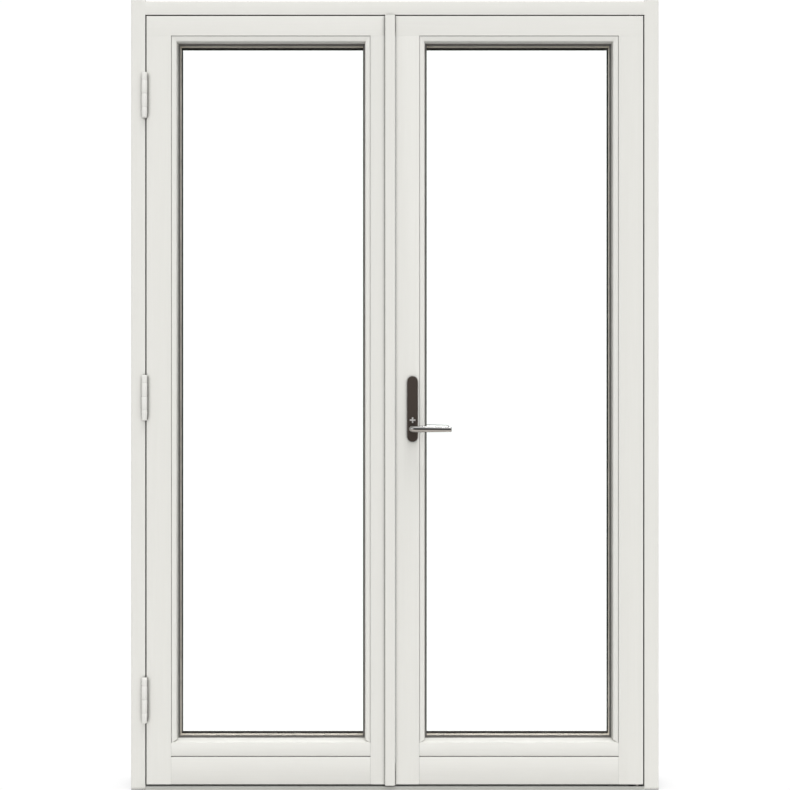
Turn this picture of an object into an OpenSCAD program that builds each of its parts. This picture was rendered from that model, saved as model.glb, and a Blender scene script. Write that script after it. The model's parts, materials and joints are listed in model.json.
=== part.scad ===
// French doors: a frame with a threshold and two glazed leaves that open outwards.
// The left leaf hangs on three lift-off hinges, the right leaf turns on pivots at top and bottom.
// Origin: middle of the frame's base, halfway through its depth.
// +X is right as seen from outside, +Y points into the room, +Z is up.

/* [Frame] */
// Overall width of the frame
frame_w = 1390; // [1150:10:1800]
// Overall height of the frame
frame_h = 2080; // [1730:10:2500]
// Depth of the frame from outside to inside
frame_d = 115; // [100:1:160]
// Width of each jamb as seen from outside
jamb_w = 38; // [32:1:60]
// Height of the head as seen from outside
head_w = 37; // [32:1:60]
// How far the head's top sits under the jamb tops
head_drop = 2; // [0:0.5:5]
// Radius on the outer front edges of the frame
frame_round = 4; // [1:0.5:8]
// How far the stops stand out from the jamb and head faces
stop_w = 22; // [20:1:30]
// Air gap between the back of a leaf and the stops
stop_gap = 4; // [3.5:0.5:6]
// Thickness of the threshold under the leaves
threshold_h = 9; // [8:0.5:14]
// Thickness of the metal cap on the threshold
cap_t = 3; // [2.5:0.5:4]
// Height of the threshold's stop above the base
sill_stop_h = 33; // [31:1:45]

/* [Leaves] */
// Thickness of each leaf
leaf_t = 68; // [66:1:80]
// Gap between a leaf and the jambs, the head and the other leaf
leaf_gap = 3; // [2.5:0.5:4]
// Gap under the leaves
bottom_gap = 6; // [5:0.5:10]
// Width of the stile at the hinge side
hinge_stile_w = 65; // [60:1:90]
// Width of the stile where the leaves meet
meeting_stile_w = 63; // [62:1:90]
// Height of the top rail
top_rail_h = 52; // [45:1:90]
// Height of the bottom rail
bottom_rail_h = 109; // [90:1:300]
// Height of the groove across the bottom rail, above the rail's underside
rail_groove_z = 73; // [40:1:80]
// How far the meeting edges slope back over the thickness of a leaf
edge_bevel = 3; // [2.5:0.1:4]
// Width of the cover strip on the left leaf
strip_w = 26.4; // [20:0.1:40]
// Thickness of the cover strip
strip_t = 8; // [5:0.5:12]

/* [Glazing] */
// Thickness of one pane
pane_t = 4; // [3:0.5:6]
// Space between the panes
cavity_t = 16; // [12:1:18]
// Depth from the leaf's face to the outer pane
glass_setback = 25; // [22:1:30]
// Thickness of the gaskets on both sides of the glass
gasket_t = 3; // [2:0.5:4]
// Width of the side and top beads
bead_w = 13.5; // [11:0.5:16]
// How far a bead's face falls back towards the glass
bead_fall = 2.5; // [0:0.5:5]
// How much wider a bead is at the glass than at its face
bead_splay = 2; // [0:0.5:4]
// Width of gasket that shows inside the beads
gasket_lip = 4.5; // [3:0.5:6]
// Clearance between the glass and the rebate
glass_clear = 5; // [4:0.5:6]
// Rise of the sloping bottom bead
sill_bead_rise = 8; // [5:0.5:10]
// Thickness of the seal that lines the reveal behind the glass
lining_t = 1; // [0.5:0.1:2]

/* [Hinges] */
// Height of the lowest hinge's barrel joint
hinge_low_z = 241.5; // [180:0.5:400]
// Distance from the frame's top down to the highest hinge's barrel joint
hinge_top_drop = 248.5; // [180:0.5:400]
// Radius of the hinge barrels
barrel_r = 7.5; // [6:0.1:8]
// Radius of the hinge pins
pin_r = 4; // [3:0.1:4.5]
// Length of each barrel
barrel_l = 36; // [30:1:45]
// Length of the top caps
top_cap_l = 20; // [10:1:30]
// Length of the bottom caps
bottom_cap_l = 28; // [10:1:35]
// Thickness of the hinge plates
plate_t = 2.5; // [2:0.1:3]
// Depth of the hinge plates behind the face
plate_d = 35; // [30:1:45]
// Distance from the pivots' axis to the right leaf's hinge edge
pivot_in = 15; // [13:1:18]
// Distance from the leaf's face to the pivots' axis
pivot_back = 8; // [7.5:0.5:9]
// Radius of the pivot pins
pivot_r = 4; // [3:0.1:4.5]

/* [Lock] */
// Height of the handle's spindle
spindle_z = 952; // [800:1:1100]
// Distance from the meeting edge to the spindle
backset = 45; // [44:1:48]
// Width of the handle plates
handle_plate_w = 27.5; // [24:0.5:32]
// Length of the handle plates
handle_plate_l = 172; // [160:1:220]
// Distance from the spindle to the lower end of the handle plates
plate_below = 35; // [33:1:40]
// Thickness of the handle plates
handle_plate_t = 8; // [6:0.5:12]
// Radius of the lever grips
grip_r = 9; // [7:0.1:11]
// Length of the lever grips
grip_l = 110; // [80:1:140]
// Distance from the leaf's face to the middle of a grip
grip_out = 55; // [45:1:65]
// Radius of the lever necks
neck_r = 8; // [6:0.1:8.5]
// Width of the square spindle
spindle_w = 7; // [6:0.5:7]
// Width of the rods and bolts along X
rod_x = 6; // [5:0.5:7]
// Depth of the rods and bolts along Y
rod_y = 10; // [8:0.5:11]
// How far the rod ends sit inside the leaf's top and bottom edges
rod_inset = 1.5; // [1:0.5:3]
// Teeth on the lock's pinion, an odd number
pinion_teeth = 15; // [13:2:17]
// Length of the flush bolts on the left leaf
flush_bolt_l = 236; // [150:1:400]
// Travel of the flush bolts
bolt_travel = 12; // [8:0.5:12]

/* [Fixings] */
// Height of the lowest wall fixing
fixing_first_z = 120; // [80:1:150]
// Distance from the frame's top down to the highest wall fixing
fixing_top_drop = 130; // [100:1:200]
// Outer radius of the fixing sleeves
sleeve_r = 9; // [8:0.1:11]
// Radius of the hole through each fixing sleeve
fixing_hole_r = 4.2; // [3:0.1:6]

/* [Hidden] */
$fn = 64;

// Clearances
run_clear = 0.05;
seat_clear = 0.1;
free_clear = 0.3;
rod_clear = 1;

// Depths, from outside to inside
y_face = -frame_d / 2;
y_back = y_face + leaf_t;
y_stop = y_back + stop_gap;
y_room = frame_d / 2;
y_pane = y_face + glass_setback;
unit_t = 2 * pane_t + cavity_t;
y_lip = y_pane + unit_t + gasket_t;
y_bead = y_pane - gasket_t;

// Widths and heights of the frame's opening
jamb_x = frame_w / 2 - jamb_w;
stop_x = jamb_x - stop_w;
head_top = frame_h - head_drop;
head_z = head_top - head_w;
head_stop_z = head_z - stop_w;

// The lock case reaches behind the lower rod's rack, and the meeting stile holds the case
case_wall = 2;
rack_back = 4;
dedendum = 1.2;
pitch_r = pinion_teeth / 2;
spindle_x = leaf_gap / 2 + backset;
case_x1 = spindle_x + pitch_r + dedendum + rack_back + free_clear + case_wall;
stile_w = max(meeting_stile_w, case_x1 + 3 - leaf_gap / 2);

// Outline of a leaf, drawn for the left leaf and mirrored for the right one
hinge_x = -(jamb_x - leaf_gap);
meet_x = -leaf_gap / 2;
leaf_top = head_z - leaf_gap;
leaf_bot = threshold_h + bottom_gap;

// Opening for the glass inside stiles and rails
gx0 = hinge_x + hinge_stile_w;
gx1 = meet_x - stile_w;
gz0 = leaf_bot + bottom_rail_h;
gz1 = leaf_top - top_rail_h;
bead_back_w = bead_w + bead_splay;
sight = bead_back_w + gasket_lip;
sill_bead_h = sill_bead_rise;
sill_sight = sill_bead_h + gasket_lip + 0.5;
rebate_drop = 6;
rail_nose_t = 8;
mitre_gap = 0.15;
sx0 = gx0 + sight;
sx1 = gx1 - sight;
sz0 = gz0 + sill_sight;
sz1 = gz1 - sight;
wood_x0 = sx0 - lining_t;
wood_x1 = sx1 + lining_t;
wood_z0 = sz0 - lining_t;
wood_z1 = sz1 + lining_t;
glass_x0 = gx0 + glass_clear;
glass_x1 = gx1 - glass_clear;
glass_z0 = gz0 - rebate_drop + glass_clear;
glass_z1 = gz1 - glass_clear;

// Lift-off hinges: axis in front of the face, beside the leaf's hinge edge
hinge_ax = -jamb_x - 0.5;
hinge_ay = y_face - barrel_r - 0.5;
hinge_high_z = frame_h - hinge_top_drop;
hinge_zs = [hinge_low_z, (hinge_low_z + hinge_high_z) / 2, hinge_high_z];
neck_y = hinge_ay + pin_r;
frame_barrel_l = barrel_l - 0.5;
hinge_screw_r = 2;
hinge_screw_l = 25;

// Pivots of the right leaf
pivot_x = -hinge_x - pivot_in;
pivot_y = y_face + pivot_back;
bush_r = pivot_r + 2;
bush_l = 22;
bracket_t = 3;
bracket_l = 44;
bracket_w = 18;

// Rod channel, faceplate and lock case in the meeting edge
lock_y = y_face + leaf_t / 2;
faceplate_w = 16;
faceplate_t = 2.5;
face_x0 = leaf_gap / 2 + edge_bevel * 0.63;
face_x1 = face_x0 + faceplate_t;
rod_x0 = face_x1 + 0.4;
rod_x1 = rod_x0 + rod_x;
chan_x1 = rod_x1 + rod_clear;
chan_y = rod_y / 2 + rod_clear;
faceplate_end = 5;
case_x0 = chan_x1 + 0.3;
case_up = 74;
case_down = 72;
case_y = faceplate_w / 2;

// Pinion and racks: one millimetre of pitch radius per two teeth
tooth_pitch = PI;
addendum = 0.8;
hub_r = pitch_r - dedendum;
rack_reach = 22;
arm_h = 10;
rod_travel = pitch_r * PI / 2;

// Handle plates
plate_z0 = spindle_z - plate_below;
plate_z1 = plate_z0 + handle_plate_l;
through_r = 2.5;
through_zs = [plate_z0 + 10, plate_z1 - 18];
snib_z = spindle_z + 22;
snib_stem_r = 2.5;
snib_travel = 2;
snib_arm_l = 15;
snib_arm_w = 4;

// Wall fixings and corner screws
fixing_pitch = (frame_h - fixing_top_drop - fixing_first_z) / 3;
fixing_zs = [for (i = [0:3]) fixing_first_z + i * fixing_pitch];
fixing_y = y_face + 40;
corner_screw_r = 3;
corner_screw_l = 90;
corner_spots = [
    [y_face + 28, head_z + head_w / 2],
    [y_room - 21, head_z + head_w / 2],
    [min(y_stop + 16, y_room - 22), sill_stop_h / 2 - 1],
    [y_room - 9, sill_stop_h / 2 - 1]
];

// Weather seal on the stops
seal_in = min(15, stop_w - leaf_gap - 4);
seal_w = 6;
seal_proud = 3.2;
tongue_w = 2.6;
tongue_d = 2.5;

// Easing of a leaf's rear arris: what lies outside the swing radius round the pivots is cut off
pivot_to_back = leaf_t - pivot_back;
swing_r = pivot_to_back + 0.6 * (stop_gap - seal_proud);
ease_w = pivot_in - sqrt(pow(swing_r, 2) - pow(pivot_to_back, 2));
ease_d = pivot_to_back - sqrt(pow(swing_r, 2) - pow(pivot_in, 2));

// ---------- shared shapes ----------

// A box between two opposite corners
module block(lo, hi) {
    translate(lo) cube(hi - lo);
}

// Points of an arc from angle a0 to a1
function arc(cx, cy, r, a0, a1, n = 6) =
    [for (i = [0:n]) let (a = a0 + (a1 - a0) * i / n) [cx + r * cos(a), cy + r * sin(a)]];

// Extrude a section given in Y and Z along X
module along_x(x0, x1) {
    translate([x0, 0, 0]) rotate([90, 0, 90]) linear_extrude(height = x1 - x0) children();
}

// Extrude an outline given in X and Z along Y
module along_y(y0, y1) {
    translate([0, y1, 0]) rotate([90, 0, 0]) linear_extrude(height = y1 - y0) children();
}

// Extrude a section given in X and Y along Z
module along_z(z0, z1) {
    translate([0, 0, z0]) linear_extrude(height = z1 - z0) children();
}

// A round bar along X, from x0 to x1
module bar_x(x0, x1, r) {
    translate([x0, 0, 0]) rotate([0, 90, 0]) cylinder(h = x1 - x0, r = r);
}

// A round bar along Y, from y0 to y1
module bar_y(y0, y1, r) {
    translate([0, y1, 0]) rotate([90, 0, 0]) cylinder(h = y1 - y0, r = r);
}

// A countersunk screw along +X with its head flush at the origin
module screw_x(r, l, head_r, head_d) {
    rotate([0, 90, 0]) {
        cylinder(h = l, r = r);
        cylinder(h = head_d, r1 = head_r, r2 = r);
    }
}

// The same screw made larger all round, to cut its hole
module screw_hole_x(r, l, head_r, head_d) {
    rotate([0, 90, 0]) {
        translate([0, 0, -1]) cylinder(h = l + 1.5, r = r + run_clear);
        translate([0, 0, -1]) cylinder(h = 1, r = head_r + run_clear);
        cylinder(h = head_d + run_clear, r1 = head_r + run_clear, r2 = r + run_clear);
    }
}

// Place children for the leaf named by side: the left one as drawn, the right one mirrored
module on_side(side) {
    if (side == "left") children();
    else mirror([1, 0, 0]) children();
}

// ---------- frame ----------

// Section of the left jamb: a front part and a thicker stop behind the leaf
module jamb_section() {
    r = frame_round;
    outer = -frame_w / 2;
    polygon(concat(
        arc(outer + r, y_face + r, r, 180, 270),
        [[-jamb_x, y_face], [-jamb_x, y_stop], [-stop_x, y_stop], [-stop_x, y_room], [outer, y_room]]
    ));
}

module seal_groove(depth) {
    translate([-tongue_w / 2 - seat_clear, y_stop - 1, 0])
        square([tongue_w + 2 * seat_clear, depth + 1]);
}

module jamb() {
    difference() {
        along_z(0, frame_h) jamb_section();
        along_z(threshold_h, head_z)
            translate([-(jamb_x - leaf_gap - seal_in), 0]) seal_groove(tongue_d + seat_clear);
        for (z = fixing_zs)
            translate([0, fixing_y, z]) bar_x(-frame_w / 2 - 1, -jamb_x + 1, sleeve_r);
        for (p = corner_spots)
            translate([-frame_w / 2, p[0], p[1]]) corner_screw_hole();
    }
}

module left_jamb() {
    color([0.89, 0.89, 0.87]) difference() {
        jamb();
        for (z = hinge_zs) {
            block([-jamb_x - plate_t, y_face - 1, z - frame_barrel_l],
                  [-jamb_x + 1, y_face + plate_d, z + barrel_l]);
            for (s = hinge_screw_spots())
                translate([-jamb_x, s[0], z + s[1]]) mirror([1, 0, 0]) hinge_screw_hole();
        }
    }
}

module right_jamb() {
    color([0.89, 0.89, 0.87]) mirror([1, 0, 0]) jamb();
}

module head_rail() {
    r = frame_round;
    color([0.89, 0.89, 0.87]) difference() {
        union() {
            along_x(-jamb_x, jamb_x) polygon(concat(
                [[y_stop, head_z], [y_stop, head_top]],
                arc(y_face + r, head_top - r, r, 90, 180),
                [[y_face, head_z]]
            ));
            block([-stop_x, y_stop, head_stop_z], [stop_x, y_room, head_top]);
        }
        block([-stop_x - 1, y_stop - 1, seal_head_z - tongue_w / 2 - seat_clear],
              [stop_x + 1, y_stop + tongue_d + seat_clear, seal_head_z + tongue_w / 2 + seat_clear]);
        for (side = ["left", "right"]) on_side(side)
            for (p = [corner_spots[0], corner_spots[1]])
                translate([-frame_w / 2, p[0], p[1]]) corner_screw_hole();
        block([pivot_x - bracket_l / 2, pivot_y - bracket_in, head_z - 1],
              [pivot_x + bracket_out, pivot_y + bracket_w - bracket_in, head_z + bracket_t]);
        block([-keep_l / 2, lock_y - keep_w / 2, head_z - 1],
              [keep_l / 2, lock_y + keep_w / 2, head_z + keep_t]);
        for (side = ["left", "right"]) on_side(side)
            block([-chan_x1 - 1, lock_y - chan_y - 1, head_z + keep_t - 0.5],
                  [-rod_x0 + 2, lock_y + chan_y + 1, head_z + rod_travel + 2]);
    }
}

seal_head_z = head_z - leaf_gap - seal_in;
seal_sill_z = leaf_bot + 9;
bracket_in = pivot_back - 1.5;
bracket_out = pivot_in + leaf_gap - 1;
keep_l = 60;
keep_w = 24;
keep_t = 2.5;
keep_slot_y = chan_y + 0.5;

// Cut-outs that both threshold pieces share: the jamb stops at their ends and the bolt pockets
module sill_cuts() {
    for (side = ["left", "right"]) on_side(side) {
        block([-jamb_x - 1, y_stop, -1], [-stop_x, y_room + 1, sill_stop_h + 1]);
        block([-chan_x1 - 0.5, lock_y - chan_y - 0.5, 2],
              [-rod_x0 + 1.5, lock_y + chan_y + 0.5, threshold_h + 1]);
    }
}

module sill() {
    lip = cap_t;
    color([0.55, 0.54, 0.52]) difference() {
        along_x(-jamb_x, jamb_x) polygon([
            [y_face + lip, 0], [y_room, 0], [y_room, sill_stop_h - lip],
            [y_stop + lip, sill_stop_h - lip], [y_stop + lip, threshold_h - lip],
            [y_face + lip, threshold_h - lip]
        ]);
        sill_cuts();
        for (side = ["left", "right"]) on_side(side)
            for (p = [corner_spots[2], corner_spots[3]])
                translate([-frame_w / 2, p[0], p[1]]) corner_screw_hole();
    }
}

module threshold_cap() {
    lip = cap_t;
    color([0.72, 0.72, 0.70]) difference() {
        along_x(-jamb_x, jamb_x) polygon([
            [y_face, 0], [y_face + lip, 0], [y_face + lip, threshold_h - lip],
            [y_stop + lip, threshold_h - lip], [y_stop + lip, sill_stop_h - lip],
            [y_room, sill_stop_h - lip], [y_room, sill_stop_h], [y_stop, sill_stop_h],
            [y_stop, threshold_h], [y_face, threshold_h]
        ]);
        sill_cuts();
        block([-stop_x - 1, y_stop - 1, seal_sill_z - tongue_w / 2 - seat_clear],
              [stop_x + 1, y_stop + tongue_d + seat_clear, seal_sill_z + tongue_w / 2 + seat_clear]);
        block([pivot_x - bracket_l / 2, pivot_y - bracket_in + cap_t, threshold_h - lip],
              [pivot_x + bracket_out, pivot_y + bracket_w, threshold_h + 1]);
    }
}

// Section of the weather seal, centred on its groove: a soft head and a tongue
module seal_section() {
    translate([-tongue_w / 2, y_stop - 0.5]) square([tongue_w, tongue_d + 0.5]);
    polygon(concat(
        [[-seal_w / 2, y_stop]],
        [for (p = arc(0, 0, 1, 180, 360, 10)) [p[0] * seal_w / 2, y_stop + p[1] * seal_proud]],
        [[seal_w / 2, y_stop]]
    ));
}

module frame_seal() {
    x = jamb_x - leaf_gap - seal_in;
    color([0.12, 0.12, 0.12]) {
        for (side = ["left", "right"]) on_side(side)
            along_z(threshold_h + 0.5, head_z - 0.5) translate([-x, 0]) seal_section();
        for (z = [seal_sill_z, seal_head_z])
            translate([0, 0, z]) rotate([0, 90, 0])
                linear_extrude(height = 2 * stop_x, center = true) seal_section();
    }
}

module corner_screw_hole() {
    screw_hole_x(corner_screw_r, corner_screw_l, 2 * corner_screw_r, corner_screw_r);
}

module corner_screws() {
    color([0.75, 0.73, 0.65]) for (side = ["left", "right"]) on_side(side)
        for (p = corner_spots) translate([-frame_w / 2, p[0], p[1]])
            screw_x(corner_screw_r, corner_screw_l, 2 * corner_screw_r, corner_screw_r);
}

module fixing_sleeves() {
    color([0.80, 0.80, 0.78]) for (side = ["left", "right"]) on_side(side)
        for (z = fixing_zs) translate([0, fixing_y, z]) difference() {
            bar_x(-frame_w / 2, -jamb_x, sleeve_r - run_clear);
            bar_x(-frame_w / 2 - 1, -jamb_x + 1, fixing_hole_r);
        }
}

module head_keep() {
    color([0.78, 0.78, 0.76]) difference() {
        block([-keep_l / 2, lock_y - keep_w / 2, head_z], [keep_l / 2, lock_y + keep_w / 2, head_z + keep_t]);
        for (side = ["left", "right"]) on_side(side)
            block([-chan_x1 - 0.5, lock_y - keep_slot_y, head_z - 1],
                  [-rod_x0 + 1.5, lock_y + keep_slot_y, head_z + keep_t + 1]);
    }
}

// ---------- lift-off hinges ----------

// Places of the screws in a hinge plate, as depth and height from the barrel joint
function hinge_screw_spots() =
    [for (i = [-1:1]) [y_face + plate_d * 0.7, i * barrel_l * 0.68]];

module hinge_screw_hole() {
    screw_hole_x(hinge_screw_r, hinge_screw_l, 2 * hinge_screw_r, hinge_screw_r);
}

module hinge_screw() {
    screw_x(hinge_screw_r, hinge_screw_l, 2 * hinge_screw_r, hinge_screw_r);
}

// A barrel standing on z = 0, with small chamfers and a bore for the pin
module barrel(l) {
    c = 0.6;
    rotate_extrude() polygon([
        [pin_r + run_clear, 0], [barrel_r - c, 0], [barrel_r, c], [barrel_r, l - c],
        [barrel_r - c, l], [pin_r + run_clear, l]
    ]);
}

// The half that is let into the jamb, with the lower barrel
module frame_half(z) {
    color([0.88, 0.88, 0.86]) difference() {
        union() {
            translate([hinge_ax, hinge_ay, z - frame_barrel_l]) barrel(frame_barrel_l - free_clear);
            block([-jamb_x - plate_t, neck_y, z - frame_barrel_l],
                  [-jamb_x, y_face, z - free_clear]);
            block([-jamb_x - plate_t, y_face, z - frame_barrel_l],
                  [-jamb_x, y_face + plate_d, z + barrel_l]);
        }
        for (s = hinge_screw_spots())
            translate([-jamb_x, s[0], z + s[1]]) mirror([1, 0, 0]) hinge_screw_hole();
    }
}

// The half that is let into the leaf's edge, with the upper barrel
module leaf_half(z) {
    color([0.88, 0.88, 0.86]) difference() {
        union() {
            translate([hinge_ax, hinge_ay, z]) barrel(barrel_l);
            block([hinge_x, neck_y, z], [hinge_x + plate_t, y_face, z + barrel_l]);
            block([hinge_x, y_face, z - frame_barrel_l],
                  [hinge_x + plate_t, y_face + plate_d, z + barrel_l]);
        }
        for (s = hinge_screw_spots()) translate([hinge_x, s[0], z + s[1]]) hinge_screw_hole();
    }
}

module hinge_low_frame_half() frame_half(hinge_zs[0]);
module hinge_mid_frame_half() frame_half(hinge_zs[1]);
module hinge_top_frame_half() frame_half(hinge_zs[2]);
module hinge_low_leaf_half() leaf_half(hinge_zs[0]);
module hinge_mid_leaf_half() leaf_half(hinge_zs[1]);
module hinge_top_leaf_half() leaf_half(hinge_zs[2]);

// Each pin stands in the lower barrel and carries the upper one
spigot_l = 5;
module hinge_pins() {
    color([0.70, 0.70, 0.72]) for (z = hinge_zs)
        translate([hinge_ax, hinge_ay, z - frame_barrel_l + spigot_l + free_clear])
            cylinder(h = frame_barrel_l + barrel_l - 2 * (spigot_l + free_clear), r = pin_r);
}

module hinge_bottom_caps() {
    end_r = barrel_r - 1;
    color([0.88, 0.88, 0.86]) for (z = hinge_zs)
        translate([hinge_ax, hinge_ay, z - frame_barrel_l - bottom_cap_l]) rotate_extrude() polygon(concat(
            [[0, 0]], arc(end_r - 2, 2, 2, -90, 0),
            [[barrel_r, bottom_cap_l * 0.6], [barrel_r, bottom_cap_l - 0.6], [barrel_r - 0.6, bottom_cap_l],
             [pin_r, bottom_cap_l], [pin_r, bottom_cap_l + spigot_l], [0, bottom_cap_l + spigot_l]]
        ));
}

module hinge_top_caps() {
    color([0.88, 0.88, 0.86]) for (z = hinge_zs)
        translate([hinge_ax, hinge_ay, z + barrel_l]) rotate_extrude() polygon(concat(
            [[0, -spigot_l], [pin_r, -spigot_l], [pin_r, 0], [barrel_r - 0.6, 0], [barrel_r, 0.6]],
            arc(barrel_r - 2.5, top_cap_l - 2.5, 2.5, 0, 90), [[0, top_cap_l]]
        ));
}

module hinge_frame_screws() {
    color([0.75, 0.73, 0.65]) for (z = hinge_zs, s = hinge_screw_spots())
        translate([-jamb_x, s[0], z + s[1]]) mirror([1, 0, 0]) hinge_screw();
}

module hinge_leaf_screws() {
    color([0.75, 0.73, 0.65]) for (z = hinge_zs, s = hinge_screw_spots())
        translate([hinge_x, s[0], z + s[1]]) hinge_screw();
}

// ---------- pivots of the right leaf ----------

module pivot_top_bracket() {
    color([0.70, 0.70, 0.72]) {
        block([pivot_x - bracket_l / 2, pivot_y - bracket_in, head_z],
              [pivot_x + bracket_out, pivot_y + bracket_w - bracket_in, head_z + bracket_t]);
        translate([pivot_x, pivot_y, leaf_top - bush_l + 3])
            cylinder(h = head_z - leaf_top + bush_l - 2, r = pivot_r);
    }
}

module pivot_bottom_bracket() {
    z0 = threshold_h - cap_t;
    color([0.70, 0.70, 0.72]) {
        block([pivot_x - bracket_l / 2, pivot_y - bracket_in + cap_t, z0],
              [pivot_x + bracket_out, pivot_y + bracket_w, threshold_h]);
        translate([pivot_x, pivot_y, threshold_h]) cylinder(h = bottom_gap, r = bush_r - 1);
        translate([pivot_x, pivot_y, threshold_h]) cylinder(h = bottom_gap + bush_l - 3, r = pivot_r);
    }
}

module pivot_bushes() {
    color([0.78, 0.66, 0.38]) for (z = [leaf_bot, leaf_top - bush_l]) translate([pivot_x, pivot_y, z])
        difference() {
            cylinder(h = bush_l, r = bush_r - run_clear);
            translate([0, 0, -1]) cylinder(h = bush_l + 2, r = pivot_r + run_clear);
        }
}

// ---------- leaf woodwork, drawn for the left leaf ----------

// Outline of a leaf seen from above, with the sloped meeting edge. The rear arris at the hinge
// edge is eased, so that a leaf on pivots swings clear of the seal.
module leaf_plan() {
    r = 1;
    polygon(concat(
        arc(hinge_x + r, y_face + r, r, 180, 270, 3),
        arc(meet_x - r, y_face + r, r, 270, 360, 3),
        [[meet_x - edge_bevel, y_back], [hinge_x + ease_w, y_back], [hinge_x, y_back - ease_d]]
    ));
}

module hinge_stile() {
    along_z(leaf_bot, gz1) {
        intersection() {
            leaf_plan();
            translate([hinge_x - 1, y_face - 1]) square([hinge_stile_w + 1, leaf_t + 2]);
        }
        translate([gx0 - 1, y_lip]) square([wood_x0 - gx0 + 1, y_back - y_lip]);
    }
}

module meeting_stile() {
    along_z(leaf_bot, gz1) {
        intersection() {
            leaf_plan();
            translate([gx1, y_face - 1]) square([stile_w + 1, leaf_t + 2]);
        }
        translate([wood_x1, y_lip]) square([gx1 - wood_x1 + 1, y_back - y_lip]);
    }
}

module top_rail() {
    along_z(gz1, leaf_top) leaf_plan();
    block([wood_x0, y_lip, wood_z1], [wood_x1, y_back, gz1 + 1]);
}

module bottom_rail() {
    groove_w = 4;
    groove_d = 3;
    groove_z = leaf_bot + rail_groove_z;
    difference() {
        along_x(gx0, gx1) polygon([
            [y_face, leaf_bot], [y_face, groove_z - groove_w / 2], [y_face + groove_d, groove_z],
            [y_face, groove_z + groove_w / 2], [y_face, gz0], [y_face + rail_nose_t, gz0],
            [y_face + rail_nose_t, gz0 - rebate_drop], [y_lip, gz0 - rebate_drop], [y_lip, wood_z0],
            [y_back, wood_z0], [y_back, leaf_bot]
        ]);
        block([gx0 - 1, y_lip, leaf_bot - 1], [wood_x0, y_back + 1, sz0 + 1]);
        block([wood_x1, y_lip, leaf_bot - 1], [gx1 + 1, y_back + 1, sz0 + 1]);
    }
}

// Channel for a rod or bolt in the meeting edge, with the shallow seat of its faceplate
module edge_channel(plate_z0, plate_z1, rod_z0, rod_z1) {
    block([-face_x1, lock_y - faceplate_w / 2, plate_z0], [0, lock_y + faceplate_w / 2, plate_z1]);
    block([-chan_x1, lock_y - chan_y, rod_z0], [-face_x1 + 1, lock_y + chan_y, rod_z1]);
}

// ---------- left leaf ----------

module bolt_channels() {
    edge_channel(bolt_plate_top[0], bolt_plate_top[1], bolt_plate_top[0] - 2, leaf_top + 1);
    edge_channel(bolt_plate_bot[0], bolt_plate_bot[1], leaf_bot - 1, bolt_plate_bot[1] + 2);
}

bolt_plate_l = flush_bolt_l + bolt_travel;
bolt_plate_top = [leaf_top - faceplate_end - bolt_plate_l, leaf_top - faceplate_end];
bolt_plate_bot = [leaf_bot + faceplate_end, leaf_bot + faceplate_end + bolt_plate_l];

meeting_seal_y = y_face + 10;
meeting_seal_x = meet_x - edge_bevel * 6 / leaf_t;

module meeting_seal_groove() {
    block([meeting_seal_x - 5, meeting_seal_y - 1.5, leaf_bot - 1],
          [0, meeting_seal_y + 1.5, leaf_top + 1]);
}

module left_hinge_stile() {
    color([0.89, 0.89, 0.87]) difference() {
        hinge_stile();
        for (z = hinge_zs) {
            block([hinge_x - 1, y_face - 1, z - frame_barrel_l],
                  [hinge_x + plate_t, y_face + plate_d, z + barrel_l]);
            for (s = hinge_screw_spots()) translate([hinge_x, s[0], z + s[1]]) hinge_screw_hole();
        }
    }
}

module left_meeting_stile() {
    color([0.89, 0.89, 0.87]) difference() {
        meeting_stile();
        bolt_channels();
        meeting_seal_groove();
    }
}

module left_top_rail() {
    color([0.89, 0.89, 0.87]) difference() {
        top_rail();
        bolt_channels();
        meeting_seal_groove();
    }
}

module left_bottom_rail() color([0.89, 0.89, 0.87]) bottom_rail();

// The strip that covers the joint between the leaves
module cover_strip() {
    r = 3;
    x1 = leaf_gap / 2 - 0.6;
    x0 = x1 - strip_w;
    y0 = y_face - strip_t;
    color([0.89, 0.89, 0.87]) along_z(leaf_bot - 1, leaf_top + 1) polygon(concat(
        arc(x0 + r, y0 + r, r, 180, 270), arc(x1 - r, y0 + r, r, 270, 360),
        [[x1, y_face], [x0, y_face]]
    ));
}

module meeting_seal() {
    reach = 2.5;
    color([0.12, 0.12, 0.12]) along_z(leaf_bot + 1, leaf_top - 1) translate([meeting_seal_x, meeting_seal_y])
        polygon(concat([[-4.8, -1.3], [0, -1.3]],
            [for (p = arc(0, 0, 1, -90, 90, 8)) [p[0] * reach, p[1] * 2.5]],
            [[0, 1.3], [-4.8, 1.3]]));
}

// A bar that slides behind its plate, with a thumb piece in the plate's slot
thumb_l = 10;
thumb_w = 6;
module flush_bolt(z0, thumb_z) {
    block([-rod_x1, lock_y - rod_y / 2, z0], [-rod_x0, lock_y + rod_y / 2, z0 + flush_bolt_l]);
    block([-rod_x0 - 1, lock_y - thumb_w / 2, thumb_z - thumb_l / 2],
          [-face_x0 - 0.2, lock_y + thumb_w / 2, thumb_z + thumb_l / 2]);
}

bolt_top_z0 = leaf_top - rod_inset - flush_bolt_l;
bolt_bot_z0 = leaf_bot + rod_inset;
thumb_top_z = bolt_top_z0 + 50;
thumb_bot_z = bolt_bot_z0 + flush_bolt_l - 50;

module flush_bolt_top() color([0.78, 0.78, 0.76]) flush_bolt(bolt_top_z0, thumb_top_z);
module flush_bolt_bottom() color([0.78, 0.78, 0.76]) flush_bolt(bolt_bot_z0, thumb_bot_z);

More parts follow.
